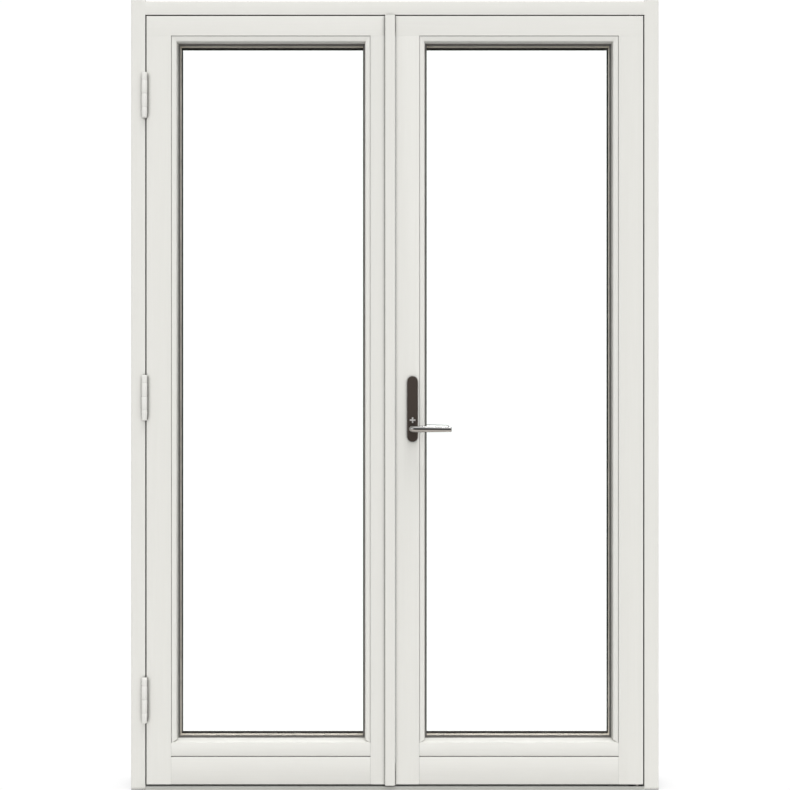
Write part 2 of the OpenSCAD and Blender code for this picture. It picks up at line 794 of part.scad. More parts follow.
module flush_bolt_plates() {
    half_w = faceplate_w / 2 - run_clear;
    slot_y = thumb_w / 2 + 0.5;
    color([0.78, 0.78, 0.76]) {
        difference() {
            block([-face_x1, lock_y - half_w, bolt_plate_top[0]],
                  [-face_x0, lock_y + half_w, bolt_plate_top[1]]);
            block([-face_x1 - 1, lock_y - slot_y, thumb_top_z - thumb_l / 2 - 1],
                  [-face_x0 + 1, lock_y + slot_y, thumb_top_z + thumb_l / 2 + bolt_travel + 1]);
        }
        difference() {
            block([-face_x1, lock_y - half_w, bolt_plate_bot[0]],
                  [-face_x0, lock_y + half_w, bolt_plate_bot[1]]);
            block([-face_x1 - 1, lock_y - slot_y, thumb_bot_z - thumb_l / 2 - bolt_travel - 1],
                  [-face_x0 + 1, lock_y + slot_y, thumb_bot_z + thumb_l / 2 + 1]);
        }
    }
}

// ---------- glazing, drawn for the left leaf ----------

// Section of a side or top bead: [distance in from the rebate wall, depth behind the face]
function bead_points() = concat(
    [[0, y_bead], [0, y_face + 3], [1, y_face + 3], [1, y_face + 0.6]],
    arc(bead_w - 2.5, y_face + bead_fall + 3.7, 2.5, -110, 0, 5),
    [[bead_back_w, y_bead]]
);

// Outline that keeps one mitred bead of the four: 0 left, 1 top, 2 right, 3 bottom.
// The upright beads are cut a hair short, so that each bead is a piece of its own.
module mitre(i) {
    short = i % 2 == 0 ? mitre_gap : 0;
    low_z = gz0 + short;
    high_z = gz1 - short;
    outer = [[gx0, low_z], [gx0, high_z], [gx1, high_z], [gx1, low_z]];
    w = bead_back_w;
    inner = [[gx0 + w, low_z + sill_bead_h], [gx0 + w, high_z - w],
             [gx1 - w, high_z - w], [gx1 - w, low_z + sill_bead_h]];
    j = (i + 1) % 4;
    low = [[gx0, gz0 - rebate_drop], [gx1, gz0 - rebate_drop]];
    if (i < 3) polygon([outer[i], outer[j], inner[j], inner[i]]);
    else polygon([outer[3], inner[3], inner[0], outer[0], low[0], low[1]]);
}

module beads() {
    intersection() {
        along_z(gz0, gz1) translate([gx0, 0]) polygon(bead_points());
        along_y(y_face, y_pane) mitre(0);
    }
    intersection() {
        along_z(gz0, gz1) translate([gx1, 0]) mirror([1, 0]) polygon(bead_points());
        along_y(y_face, y_pane) mitre(2);
    }
    intersection() {
        along_x(gx0, gx1) polygon([for (p = bead_points()) [p[1], gz1 - p[0]]]);
        along_y(y_face, y_pane) mitre(1);
    }
    intersection() {
        along_x(gx0, gx1) polygon([
            [y_face + 0.6, gz0], [y_face + 0.6, gz0 + 0.8], [y_bead, gz0 + sill_bead_h],
            [y_bead, gz0 - rebate_drop], [y_face + rail_nose_t, gz0 - rebate_drop],
            [y_face + rail_nose_t, gz0]
        ]);
        along_y(y_face, y_pane) mitre(3);
    }
}

module panes() {
    for (y = [y_pane, y_pane + pane_t + cavity_t])
        block([glass_x0, y, glass_z0], [glass_x1, y + pane_t, glass_z1]);
}

// A flat ring round the glass: its inner edge lies at the sight line, less the given step
module glazing_ring(y0, y1, out, step) {
    difference() {
        block([glass_x0 - out, y0, glass_z0 - out], [glass_x1 + out, y1, glass_z1 + out]);
        block([sx0 - step, y0 - 1, sz0 - step], [sx1 + step, y1 + 1, sz1 + step]);
    }
}

module spacer() glazing_ring(y_pane + pane_t, y_pane + pane_t + cavity_t, -1, 0.5);

// The outer gasket lies under the beads. The inner one turns round the wood's edge and lines the reveal.
module gaskets() {
    glazing_ring(y_bead, y_pane, 3, 0);
    glazing_ring(y_pane + unit_t, y_lip, -1, 0.5);
    difference() {
        block([wood_x0, y_lip - 0.5, wood_z0], [wood_x1, y_back - 1, wood_z1]);
        block([sx0, y_lip - 1, sz0], [sx1, y_back, sz1]);
    }
}

module setting_blocks() {
    l = 100;
    for (t = [0.25, 0.75]) {
        x = gx0 + (gx1 - gx0) * t;
        block([x - l / 2, y_pane, gz0 - rebate_drop], [x + l / 2, y_pane + unit_t, glass_z0]);
    }
    for (z = [gz0 + 200, gz1 - 200]) {
        block([gx0, y_pane, z - l / 2], [glass_x0, y_pane + unit_t, z + l / 2]);
        block([glass_x1, y_pane, z - l / 2], [gx1, y_pane + unit_t, z + l / 2]);
    }
}

module left_beads() color([0.89, 0.89, 0.87]) beads();
module left_panes() color([0.85, 0.92, 0.90, 0.3]) panes();
module left_spacer() color([0.70, 0.68, 0.63]) spacer();
module left_gaskets() color([0.12, 0.12, 0.12]) gaskets();
module left_setting_blocks() color([0.25, 0.27, 0.30]) setting_blocks();
module right_beads() color([0.89, 0.89, 0.87]) on_side("right") beads();
module right_panes() color([0.85, 0.92, 0.90, 0.3]) on_side("right") panes();
module right_spacer() color([0.70, 0.68, 0.63]) on_side("right") spacer();
module right_gaskets() color([0.12, 0.12, 0.12]) on_side("right") gaskets();
module right_setting_blocks() color([0.25, 0.27, 0.30]) on_side("right") setting_blocks();

// ---------- right leaf ----------

module lock_channel() {
    edge_channel(leaf_bot + faceplate_end, leaf_top - faceplate_end, leaf_bot - 1, leaf_top + 1);
}

module right_hinge_stile() {
    color([0.89, 0.89, 0.87]) difference() {
        on_side("right") hinge_stile();
        translate([pivot_x, pivot_y, leaf_bot - 1]) cylinder(h = bush_l + 1, r = bush_r);
    }
}

module right_meeting_stile() {
    color([0.89, 0.89, 0.87]) difference() {
        on_side("right") difference() {
            meeting_stile();
            lock_channel();
        }
        block([chan_x1 - 1, lock_y - case_y - 0.5, spindle_z - case_down - 0.5],
              [case_x1 + 0.5, lock_y + case_y + 0.5, spindle_z + case_up + 0.5]);
        translate([spindle_x, 0, spindle_z]) bar_y(y_face - 1, y_back + 1, hub_r + 2);
        for (z = through_zs) translate([spindle_x, 0, z]) bar_y(y_face - 1, y_back + 1, through_r + 0.5);
        translate([spindle_x, 0, snib_z]) bar_y(y_face - 1, y_face + 15, snib_stem_r + 1);
    }
}

module right_top_rail() {
    color([0.89, 0.89, 0.87]) difference() {
        on_side("right") difference() {
            top_rail();
            lock_channel();
        }
        translate([pivot_x, pivot_y, leaf_top - bush_l]) cylinder(h = bush_l + 1, r = bush_r);
    }
}

module right_bottom_rail() color([0.89, 0.89, 0.87]) on_side("right") bottom_rail();

module lock_faceplate() {
    half_w = faceplate_w / 2 - run_clear;
    color([0.78, 0.78, 0.76])
        block([face_x0, lock_y - half_w, leaf_bot + faceplate_end],
              [face_x1, lock_y + half_w, leaf_top - faceplate_end]);
}

// A folded steel case with slots for the arms of both rods
module lock_case() {
    w = case_wall;
    z0 = spindle_z - case_down;
    z1 = spindle_z + case_up;
    color([0.62, 0.62, 0.60]) difference() {
        block([case_x0, lock_y - case_y, z0], [case_x1, lock_y + case_y, z1]);
        block([case_x0 + w, lock_y - case_y + w, z0 + w], [case_x1 - w, lock_y + case_y - w, z1 - w]);
        for (z = [top_arm_z, bottom_arm_z - rod_travel])
            block([case_x0 - 1, lock_y - rod_y / 2 - 0.5, z - 1],
                  [case_x0 + w + 1, lock_y + rod_y / 2 + 0.5, z + arm_h + rod_travel + 1]);
        translate([spindle_x, 0, spindle_z])
            bar_y(lock_y - case_y - 1, lock_y + case_y + 1, hub_r + run_clear);
        translate([spindle_x, 0, through_zs[0]])
            bar_y(lock_y - case_y - 1, lock_y + case_y + 1, through_r + 0.2);
    }
}

top_arm_z = spindle_z + rack_reach + 20;
bottom_arm_z = spindle_z - rack_reach - 20 - arm_h;

// A tapered tooth pointing along +X from the pitch line, given its root and tip half-widths
module tooth(root, tip, root_half, tip_half) {
    polygon([[root, -root_half], [tip, -tip_half], [tip, tip_half], [root, root_half]]);
}

// Rack teeth facing +X on a bar whose pitch line is at x = 0, with a tooth at each offset
module rack(offsets, z0, z1) {
    translate([-dedendum - rack_back, z0]) square([rack_back, z1 - z0]);
    for (z = offsets) translate([0, z]) tooth(-dedendum - 0.5, addendum, 0.95, 0.35);
}

module rack_bar_top() {
    along_y(lock_y - rod_y / 2, lock_y + rod_y / 2) translate([spindle_x - pitch_r, spindle_z])
        rack([for (i = [-5:2]) i * tooth_pitch], -rack_reach, top_arm_z - spindle_z + 1);
}

module rack_bar_bottom() {
    along_y(lock_y - rod_y / 2, lock_y + rod_y / 2) translate([spindle_x + pitch_r, spindle_z])
        mirror([1, 0]) rack([for (i = [-2:5]) (i - 0.5) * tooth_pitch],
                            bottom_arm_z - spindle_z + arm_h - 1, rack_reach);
}

module rod_top() {
    x1 = spindle_x - pitch_r - dedendum;
    color([0.78, 0.78, 0.76]) union() {
        block([rod_x0, lock_y - rod_y / 2, top_arm_z], [rod_x1, lock_y + rod_y / 2, leaf_top - rod_inset]);
        block([rod_x0, lock_y - rod_y / 2, top_arm_z], [x1, lock_y + rod_y / 2, top_arm_z + arm_h]);
        rack_bar_top();
    }
}

module rod_bottom() {
    x1 = spindle_x + pitch_r + dedendum + rack_back;
    color([0.78, 0.78, 0.76]) union() {
        block([rod_x0, lock_y - rod_y / 2, leaf_bot + rod_inset],
              [rod_x1, lock_y + rod_y / 2, bottom_arm_z + arm_h]);
        block([rod_x0, lock_y - rod_y / 2, bottom_arm_z], [x1, lock_y + rod_y / 2, bottom_arm_z + arm_h]);
        rack_bar_bottom();
    }
}

module pinion() {
    step = 360 / pinion_teeth;
    socket = spindle_w / 2 + run_clear;
    color([0.70, 0.66, 0.55]) difference() {
        union() {
            translate([spindle_x, 0, spindle_z]) bar_y(lock_y - case_y, lock_y + case_y, hub_r);
            along_y(lock_y - rod_y / 2, lock_y + rod_y / 2) translate([spindle_x, spindle_z])
                for (i = [0:pinion_teeth - 1]) rotate(i * step)
                    tooth(hub_r - 0.5, pitch_r + addendum, 0.9, 0.35);
        }
        block([spindle_x - socket, lock_y - case_y - 1, spindle_z - socket],
              [spindle_x + socket, lock_y + case_y + 1, spindle_z + socket]);
    }
}

// ---------- handle ----------

spindle_end = handle_plate_t + 20;

module spindle() {
    h = spindle_w / 2;
    color([0.70, 0.70, 0.72]) block([spindle_x - h, y_face - spindle_end, spindle_z - h],
                                    [spindle_x + h, y_back + spindle_end, spindle_z + h]);
}

// Outline of a handle plate with round ends, made smaller by inset
module plate_outline(inset) {
    r = handle_plate_w / 2;
    for (z = [plate_z0 + r, plate_z1 - r]) translate([spindle_x, z]) circle(r = r - inset);
    translate([spindle_x - r + inset, plate_z0 + r]) square([2 * (r - inset), handle_plate_l - 2 * r]);
}

// A plate between the leaf's face at y0 and its own front at y1, with a softened front edge
module handle_plate(y0, y1) {
    step = 1.5;
    s = sign(y1 - y0);
    along_y(min(y0, y1 - s * step), max(y0, y1 - s * step)) plate_outline(0);
    along_y(min(y1 - s * step, y1), max(y1 - s * step, y1)) plate_outline(1);
}

module outside_plate() {
    y1 = y_face - handle_plate_t;
    color([0.30, 0.27, 0.25]) difference() {
        handle_plate(y_face, y1);
        translate([spindle_x, 0, spindle_z]) bar_y(y1 - 1, y_face + 1, neck_r + run_clear);
        for (z = through_zs) translate([spindle_x, 0, z]) bar_y(y1 + 2, y_face + 1, through_r);
        translate([spindle_x, 0, snib_z]) bar_y(y1 - 1, y_face + 1, snib_stem_r + run_clear);
    }
}

module inside_plate() {
    y1 = y_back + handle_plate_t;
    color([0.30, 0.27, 0.25]) difference() {
        handle_plate(y_back, y1);
        translate([spindle_x, 0, spindle_z]) bar_y(y_back - 1, y1 + 1, neck_r + run_clear);
        for (z = through_zs) translate([spindle_x, 0, z]) {
            bar_y(y_back - 1, y1 + 1, through_r + run_clear);
            bar_y(y1 - 3, y1 + 1, through_r * 2 + run_clear);
        }
    }
}

// Two bolts that pull the plates together through the stile
module plate_bolts() {
    y1 = y_back + handle_plate_t;
    color([0.25, 0.23, 0.22]) for (z = through_zs) translate([spindle_x, 0, z]) {
        bar_y(y_face - handle_plate_t + 2, y1 - 1, through_r - run_clear);
        bar_y(y1 - 3, y1 - 0.4, through_r * 2);
    }
}

// A lever drawn for the outside: a neck through the plate and a grip along +X
module lever() {
    y_grip = y_face - grip_out;
    socket = spindle_w / 2 + run_clear;
    color([0.75, 0.75, 0.76]) difference() {
        union() {
            translate([spindle_x, 0, spindle_z]) bar_y(y_grip, y_face - 0.5, neck_r);
            translate([spindle_x - grip_r - 0.6, y_grip, spindle_z]) rotate([0, 90, 0]) rotate_extrude()
                polygon(concat([[0, 0]], arc(grip_r - 5, 5, 5, -90, 0),
                               arc(grip_r - 5, grip_l - 5, 5, 0, 90), [[0, grip_l]]));
        }
        block([spindle_x - socket, y_face - spindle_end - 1, spindle_z - socket],
              [spindle_x + socket, y_face, spindle_z + socket]);
    }
}

module outside_lever() lever();

module inside_lever() {
    translate([0, y_face + y_back, 0]) mirror([0, 1, 0]) lever();
}

// A spring-loaded safety button with a plain four-armed grip
module snib_button() {
    y1 = y_face - handle_plate_t - snib_travel - 0.2;
    h = snib_arm_l / 2;
    w = snib_arm_w / 2;
    color([0.72, 0.72, 0.71]) {
        translate([spindle_x, 0, snib_z]) bar_y(y1 - 1, y_face + 10, snib_stem_r);
        along_y(y1 - 1.8, y1) translate([spindle_x, snib_z]) {
            square([2 * h, 2 * w], center = true);
            square([2 * w, 2 * h], center = true);
        }
    }
}

left_jamb();
right_jamb();
head_rail();
sill();
threshold_cap();
frame_seal();
corner_screws();
fixing_sleeves();
hinge_low_frame_half();
hinge_mid_frame_half();
hinge_top_frame_half();
hinge_pins();
hinge_bottom_caps();
hinge_frame_screws();
pivot_top_bracket();
pivot_bottom_bracket();
head_keep();
left_hinge_stile();
left_meeting_stile();
left_top_rail();
left_bottom_rail();
left_beads();
left_panes();
left_spacer();
left_gaskets();
left_setting_blocks();
cover_strip();
meeting_seal();
hinge_low_leaf_half();
hinge_mid_leaf_half();
hinge_top_leaf_half();
hinge_top_caps();
hinge_leaf_screws();
flush_bolt_plates();
flush_bolt_top();
flush_bolt_bottom();
right_hinge_stile();
right_meeting_stile();
right_top_rail();
right_bottom_rail();
right_beads();
right_panes();
right_spacer();
right_gaskets();
right_setting_blocks();
pivot_bushes();
lock_faceplate();
lock_case();
rod_top();
rod_bottom();
pinion();
spindle();
outside_plate();
inside_plate();
outside_lever();
inside_lever();
plate_bolts();
snib_button();
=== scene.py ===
# %% [markdown]
# # French doors: two glazed leaves in a frame
# The real object is a painted wooden frame with an aluminium threshold and two glazed leaves
# that open outwards. The measured model arrives as a fixed frame of named pieces, each riding
# on the body that it moves with. This lesson dresses that model: it gives every piece a finish,
# rounds the edges that a spindle moulder would round, and remakes the pieces whose shape the
# measured model keeps plain, such as the levers and the cover strip. A modeller could also
# draw the whole door again, but then its pieces could drift from the measured sizes.

# %% Load the measured model
import json
import math

import bmesh
import bpy
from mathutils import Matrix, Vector

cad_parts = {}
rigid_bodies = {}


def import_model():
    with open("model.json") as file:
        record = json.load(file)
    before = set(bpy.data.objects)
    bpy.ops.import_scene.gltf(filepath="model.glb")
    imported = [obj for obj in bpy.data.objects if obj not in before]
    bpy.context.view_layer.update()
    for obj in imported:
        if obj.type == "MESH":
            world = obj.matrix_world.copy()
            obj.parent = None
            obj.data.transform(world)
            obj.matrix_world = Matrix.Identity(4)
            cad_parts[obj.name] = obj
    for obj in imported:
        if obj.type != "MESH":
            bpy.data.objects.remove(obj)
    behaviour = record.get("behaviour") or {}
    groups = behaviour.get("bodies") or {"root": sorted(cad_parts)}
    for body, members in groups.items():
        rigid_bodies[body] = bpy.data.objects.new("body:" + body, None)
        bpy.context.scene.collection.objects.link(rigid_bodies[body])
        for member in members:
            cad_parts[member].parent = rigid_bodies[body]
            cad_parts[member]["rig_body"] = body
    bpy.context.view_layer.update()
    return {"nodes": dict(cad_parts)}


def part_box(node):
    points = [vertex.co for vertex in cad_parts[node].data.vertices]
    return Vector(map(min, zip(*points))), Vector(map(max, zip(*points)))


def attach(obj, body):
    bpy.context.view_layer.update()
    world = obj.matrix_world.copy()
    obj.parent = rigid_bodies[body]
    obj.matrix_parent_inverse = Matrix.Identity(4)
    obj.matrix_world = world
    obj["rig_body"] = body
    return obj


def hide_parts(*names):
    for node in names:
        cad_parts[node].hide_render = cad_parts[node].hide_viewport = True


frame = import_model()
cad_nodes = frame["nodes"]

# %% [markdown]
# ## Places that many pieces share
# A joiner works from a rod, a full-size drawing of the few lines that everything else is set
# out from. Here the same lines are read from the boxes of the measured pieces: the outside
# face, the top of the frame, the back of the leaves, the handle plate and the axis of the
# spindle. They could be typed in, but read from the pieces they stay right if a size changes.

# %% Lines to set out from
MM = 0.001
frame_low, frame_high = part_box("left_jamb")
face_y = frame_low.y
frame_top = frame_high.z
leaf_back_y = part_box("left_hinge_stile")[1].y
leaf_mid_y = (face_y + leaf_back_y) / 2
plate_low, plate_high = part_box("outside_plate")
lever_low, lever_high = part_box("outside_lever")
spindle_low, spindle_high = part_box("spindle")
spindle_x = (spindle_low.x + spindle_high.x) / 2
spindle_z = (spindle_low.z + spindle_high.z) / 2
print("outside face at y", round(face_y, 4),
      "spindle at x", round(spindle_x, 4), "z", round(spindle_z, 4))

# %% [markdown]
# ## The camera
# A catalogue picture of a door is taken square on, at half height, from far enough away for
# upright lines to stay parallel. The camera could be placed by eye, but three facts fix it: it
# looks straight at the door, the frame's height fills the picture, and the distance sets how
# much of the reveals inside the glazing shows.

# %% Make the camera
VIEW_DISTANCE = 3.05
VIEW_HEIGHT = 2.0798
VIEW_X = 0.0004
SENSOR = 36.0
camera_data = bpy.data.cameras.new("camera")
camera_data.sensor_width = SENSOR
camera_data.lens = SENSOR * VIEW_DISTANCE / VIEW_HEIGHT
camera = bpy.data.objects.new("camera", camera_data)
camera.location = (VIEW_X, face_y - VIEW_DISTANCE, frame_top / 2)
camera.rotation_euler = (math.radians(90), 0, 0)
scene = bpy.context.scene
scene.collection.objects.link(camera)
scene.camera = camera
scene.view_settings.view_transform = "Standard"
print("lens", round(camera_data.lens, 2), "mm")

# %% [markdown]
# ## Small helpers for working in edit mode
# Blender's operators act on whatever is selected, so a piece is made the only selected one
# before each step, and its edges are then chosen by their place. By hand this is a click with
# the Alt key on an edge loop. In a script a short test on the ends of each edge does the same,
# and it still finds the right edges if a size changes.

# %% Helpers for selecting
def only(piece):
    """Makes one piece the only selected one, in object mode."""
    if bpy.context.mode != "OBJECT":
        bpy.ops.object.mode_set(mode="OBJECT")
    bpy.ops.object.select_all(action="DESELECT")
    piece.select_set(True)
    bpy.context.view_layer.objects.active = piece
    return piece


def pick_edges(piece, test):
    """In edit mode, selects each edge that passes the test, and says how many."""
    bpy.ops.mesh.select_mode(type="EDGE")
    bpy.ops.mesh.select_all(action="DESELECT")
    mesh = bmesh.from_edit_mesh(piece.data)
    picked = 0
    for edge in mesh.edges:
        if test(edge):
            edge.select_set(True)
            picked += 1
    bmesh.update_edit_mesh(piece.data)
    return picked


def settle(piece):
    """Writes the piece's place into its mesh, so that its object sits at the origin."""
    only(piece)
    bpy.ops.object.transform_apply(location=True, rotation=True, scale=True)
    return piece


print("helpers: only, pick_edges, settle")

# %% [markdown]
# ## Shader groups: what every finish shares
# Every real finish varies a little: paint follows the grain under it, powder coat has a skin
# like an orange, and metal keeps the lines of its rolling. These effects are built once as
# node groups and placed in each material with that material's own scale and strength. Writing
# them into every material would also work, but a correction would then have to be made ten
# times. The first group is the grain: noise that is stretched along the board or the rolling.

# %% Helpers for shader trees
def new_group(name, inputs, outputs):
    """Starts a shader node group with named sockets, each with its default value."""
    group = bpy.data.node_groups.new(name, "ShaderNodeTree")
    for label, kind, value in inputs:
        socket = group.interface.new_socket(label, in_out="INPUT", socket_type=kind)
        if value is not None:
            socket.default_value = value
    for label, kind in outputs:
        group.interface.new_socket(label, in_out="OUTPUT", socket_type=kind)
    return group


def add(tree, kind, **settings):
    """Adds a node and sets its properties and, by name or number, its inputs."""
    node = tree.nodes.new(kind)
    for key, value in settings.items():
        if key == "inputs":
            for socket, amount in value.items():
                node.inputs[socket].default_value = amount
        else:
            setattr(node, key, value)
    return node


def wire(tree, *pairs):
    """Links sockets in pairs: from, to."""
    for start, end in pairs:
        tree.links.new(start, end)


print("helpers: new_group, add, wire")

# %% A group for lines along a grain
def make_grain_group():
    """Noise drawn out into lines, with broad clouds beside it."""
    group = new_group("grain_lines", [
        ("Stretch", "NodeSocketVector", (400.0, 400.0, 6.0)),
        ("Contrast", "NodeSocketFloat", 1.0),
    ], [("Lines", "NodeSocketFloat"), ("Clouds", "NodeSocketFloat")])
    start = add(group, "NodeGroupInput")
    end = add(group, "NodeGroupOutput")
    place = add(group, "ShaderNodeTexCoord")
    mapping = add(group, "ShaderNodeMapping")
    lines = add(group, "ShaderNodeTexNoise",
                inputs={"Scale": 1.0, "Detail": 4.0, "Roughness": 0.6})
    clouds = add(group, "ShaderNodeTexNoise", inputs={"Scale": 3.0, "Detail": 2.0})
    spread = add(group, "ShaderNodeMapRange", inputs={"From Min": 0.35, "From Max": 0.65})
    contrast = add(group, "ShaderNodeMath", operation="MULTIPLY")
    wire(group,
         (place.outputs["Object"], mapping.inputs["Vector"]),
         (start.outputs["Stretch"], mapping.inputs["Scale"]),
         (mapping.outputs["Vector"], lines.inputs["Vector"]),
         (place.outputs["Object"], clouds.inputs["Vector"]),
         (lines.outputs["Fac"], spread.inputs["Value"]),
         (spread.outputs["Result"], contrast.inputs[0]),
         (start.outputs["Contrast"], contrast.inputs[1]),
         (contrast.outputs["Value"], end.inputs["Lines"]),
         (clouds.outputs["Fac"], end.inputs["Clouds"]))
    return group


grain_group = make_grain_group()
print("group", grain_group.name, "with", len(grain_group.nodes), "nodes")

# %% [markdown]
# ## The skin of a sprayed finish
# Sprayed paint and powder coat dry with a fine dimpled skin, and their colour and shine drift
# a little from place to place. One fine noise gives the dimples and one broad noise the drift.
# An image of real paint could give both, but noise has no seams and needs no file.

# %% A group for the skin of sprayed paint and powder coat
def make_skin_group():
    """Turns one colour and shine into ones that drift, with fine dimples as a height."""
    group = new_group("sprayed_skin", [
        ("Size", "NodeSocketFloat", 700.0),
        ("Colour", "NodeSocketColor", (0.8, 0.8, 0.8, 1.0)),
        ("Drift", "NodeSocketFloat", 0.03),
        ("Shine", "NodeSocketFloat", 0.4),
    ], [("Colour", "NodeSocketColor"), ("Roughness", "NodeSocketFloat"),
        ("Height", "NodeSocketFloat")])
    start = add(group, "NodeGroupInput")
    end = add(group, "NodeGroupOutput")
    place = add(group, "ShaderNodeTexCoord")
    peel = add(group, "ShaderNodeTexNoise", inputs={"Detail": 1.0, "Roughness": 0.4})
    drift = add(group, "ShaderNodeTexNoise", inputs={"Scale": 2.3, "Detail": 3.0})
    centred = add(group, "ShaderNodeMapRange", inputs={"To Min": -0.5, "To Max": 0.5})
    amount = add(group, "ShaderNodeMath", operation="MULTIPLY")
    factor = add(group, "ShaderNodeMath", operation="ADD", inputs={1: 1.0})
    colour = add(group, "ShaderNodeVectorMath", operation="SCALE")
    haze = add(group, "ShaderNodeMapRange", inputs={"To Min": -0.05, "To Max": 0.07})
    rough = add(group, "ShaderNodeMath", operation="ADD", use_clamp=True)
    wire(group,
         (place.outputs["Object"], peel.inputs["Vector"]),
         (start.outputs["Size"], peel.inputs["Scale"]),
         (place.outputs["Object"], drift.inputs["Vector"]),
         (drift.outputs["Fac"], centred.inputs["Value"]),
         (centred.outputs["Result"], amount.inputs[0]),
         (start.outputs["Drift"], amount.inputs[1]),
         (amount.outputs["Value"], factor.inputs[0]),
         (start.outputs["Colour"], colour.inputs[0]),
         (factor.outputs["Value"], colour.inputs["Scale"]),
         (colour.outputs["Vector"], end.inputs["Colour"]),
         (drift.outputs["Fac"], haze.inputs["Value"]),
         (haze.outputs["Result"], rough.inputs[0]),
         (start.outputs["Shine"], rough.inputs[1]),
         (rough.outputs["Value"], end.inputs["Roughness"]),
         (peel.outputs["Fac"], end.inputs["Height"]))
    return group


skin_group = make_skin_group()
print("group", skin_group.name, "with", len(skin_group.nodes), "nodes")

# %% [markdown]
# ## Painted shade in crevices
# In the gap between a leaf and its frame, and in the grooves of the mouldings, little light
# comes back out, and that shade is painted into the colour. Ambient occlusion measures how
# closed in each point is, and a smooth step turns that into a mask between the finish and a
# near-black painted shade. Painting the gaps by hand would look the same, but the lines would
# not follow a gap that changes.

# %% A group that paints shade into crevices
def make_crevice_group():
    """Paints shade into a colour in narrow gaps and grooves."""
    group = new_group("crevice_shade", [
        ("Colour", "NodeSocketColor", (0.8, 0.8, 0.8, 1.0)),
        ("Reach", "NodeSocketFloat", 0.02),
        ("Depth", "NodeSocketFloat", 0.7),
        # near-black colour painted into gaps and grooves as shade
        ("Painted Shade", "NodeSocketColor", (0.030, 0.029, 0.026, 1.0)),
    ], [("Colour", "NodeSocketColor")])
    start = add(group, "NodeGroupInput")
    end = add(group, "NodeGroupOutput")
    openness = add(group, "ShaderNodeAmbientOcclusion", samples=6)
    mask = add(group, "ShaderNodeMapRange", interpolation_type="SMOOTHSTEP",
               inputs={"From Min": 0.36})
    mix = add(group, "ShaderNodeMix", data_type="RGBA")
    wire(group,
         (start.outputs["Reach"], openness.inputs["Distance"]),
         (start.outputs["Depth"], mask.inputs["From Max"]),
         (openness.outputs["AO"], mask.inputs["Value"]),
         (mask.outputs["Result"], mix.inputs["Factor"]),
         (start.outputs["Painted Shade"], mix.inputs["A"]),
         (start.outputs["Colour"], mix.inputs["B"]),
         (mix.outputs["Result"], end.inputs["Colour"]))
    return group


crevice_group = make_crevice_group()
print("group", crevice_group.name, "with", len(crevice_group.nodes), "nodes")

# %% [markdown]
# ## The finishes
# One function starts a material: a Principled shader with plain numbers for what never varies,
# and the skin group for colour, roughness and relief. Each finish then adds what is its own.
# Two more functions let the grain show through and paint shade into the crevices. Every
# material could be wired by hand instead, but small functions keep all of them alike.

# %% Start a material
def new_material(name, colour, shine, skin=700.0, drift=0.03, relief=0.02, depth=0.0002, **fixed):
    """A Principled material whose colour, roughness and relief come from the sprayed skin."""
    material = bpy.data.materials.new(name)
    material.use_nodes = True
    tree = material.node_tree
    shader = tree.nodes["Principled BSDF"]
    for socket, amount in fixed.items():
        shader.inputs[socket.replace("_", " ")].default_value = amount
    skin_node = add(tree, "ShaderNodeGroup", node_tree=skin_group)
    skin_values = {"Size": skin, "Colour": (*colour, 1.0), "Drift": drift, "Shine": shine}
    for socket, amount in skin_values.items():
        skin_node.inputs[socket].default_value = amount
    bump = add(tree, "ShaderNodeBump", inputs={"Strength": relief, "Distance": depth})
    wire(tree,
         (skin_node.outputs["Colour"], shader.inputs["Base Color"]),
         (skin_node.outputs["Roughness"], shader.inputs["Roughness"]),
         (skin_node.outputs["Height"], bump.inputs["Height"]),
         (bump.outputs["Normal"], shader.inputs["Normal"]))
    return material, tree, shader, skin_node, bump


print("new_material starts each finish")

# %% Let the grain show through
GRAIN_DEPTH = 0.3 * MM


def add_grain(parts, stretch, tint, amount, relief):
    """Lets grain lines show through a finish, in its colour and its relief."""
    _, tree, shader, skin_node, bump = parts
    grain = add(tree, "ShaderNodeGroup", node_tree=grain_group)
    grain.inputs["Stretch"].default_value = stretch
    grain.inputs["Contrast"].default_value = amount
    mix = add(tree, "ShaderNodeMix", data_type="RGBA", blend_type="MIX")
    mix.inputs["B"].default_value = (*tint, 1.0)
    lines = add(tree, "ShaderNodeBump", inputs={"Strength": relief, "Distance": GRAIN_DEPTH})
    wire(tree,
         (grain.outputs["Lines"], mix.inputs["Factor"]),
         (skin_node.outputs["Colour"], mix.inputs["A"]),
         (mix.outputs["Result"], shader.inputs["Base Color"]),
         (grain.outputs["Lines"], lines.inputs["Height"]),
         (lines.outputs["Normal"], bump.inputs["Normal"]))


print("grain relief", GRAIN_DEPTH, "m deep at most")

# %% Paint shade into the gaps and grooves
def add_crevices(parts, reach=0.013, depth=0.85):
    """Paints shade into a finish in gaps and grooves, last of all in its colour chain."""
    _, tree, shader, _, _ = parts
    link = shader.inputs["Base Color"].links[0]
    crevice = add(tree, "ShaderNodeGroup", node_tree=crevice_group)
    crevice.inputs["Reach"].default_value = reach
    crevice.inputs["Depth"].default_value = depth
    wire(tree,
         (link.from_socket, crevice.inputs["Colour"]),
         (crevice.outputs["Colour"], shader.inputs["Base Color"]))


print("add_crevices comes last on each painted finish")

# %% [markdown]
# ## Paint
# The woodwork is sprayed a satin off-white through which the grain only just shows, upright
# on the jambs and stiles and level on the head and rails. The hinges are powder coated in
# nearly the same white. The beads get no crevice shade, because the glass beside them would
# count as closing them in. One paint that is turned piece by piece would also do, but two
# named paints are easier to follow.

# %% Paint for the woodwork and the hinges
PAINT = (0.775, 0.768, 0.730)
PAINT_GRAIN = (0.750, 0.742, 0.700)
HINGE_WHITE = (0.80, 0.795, 0.76)


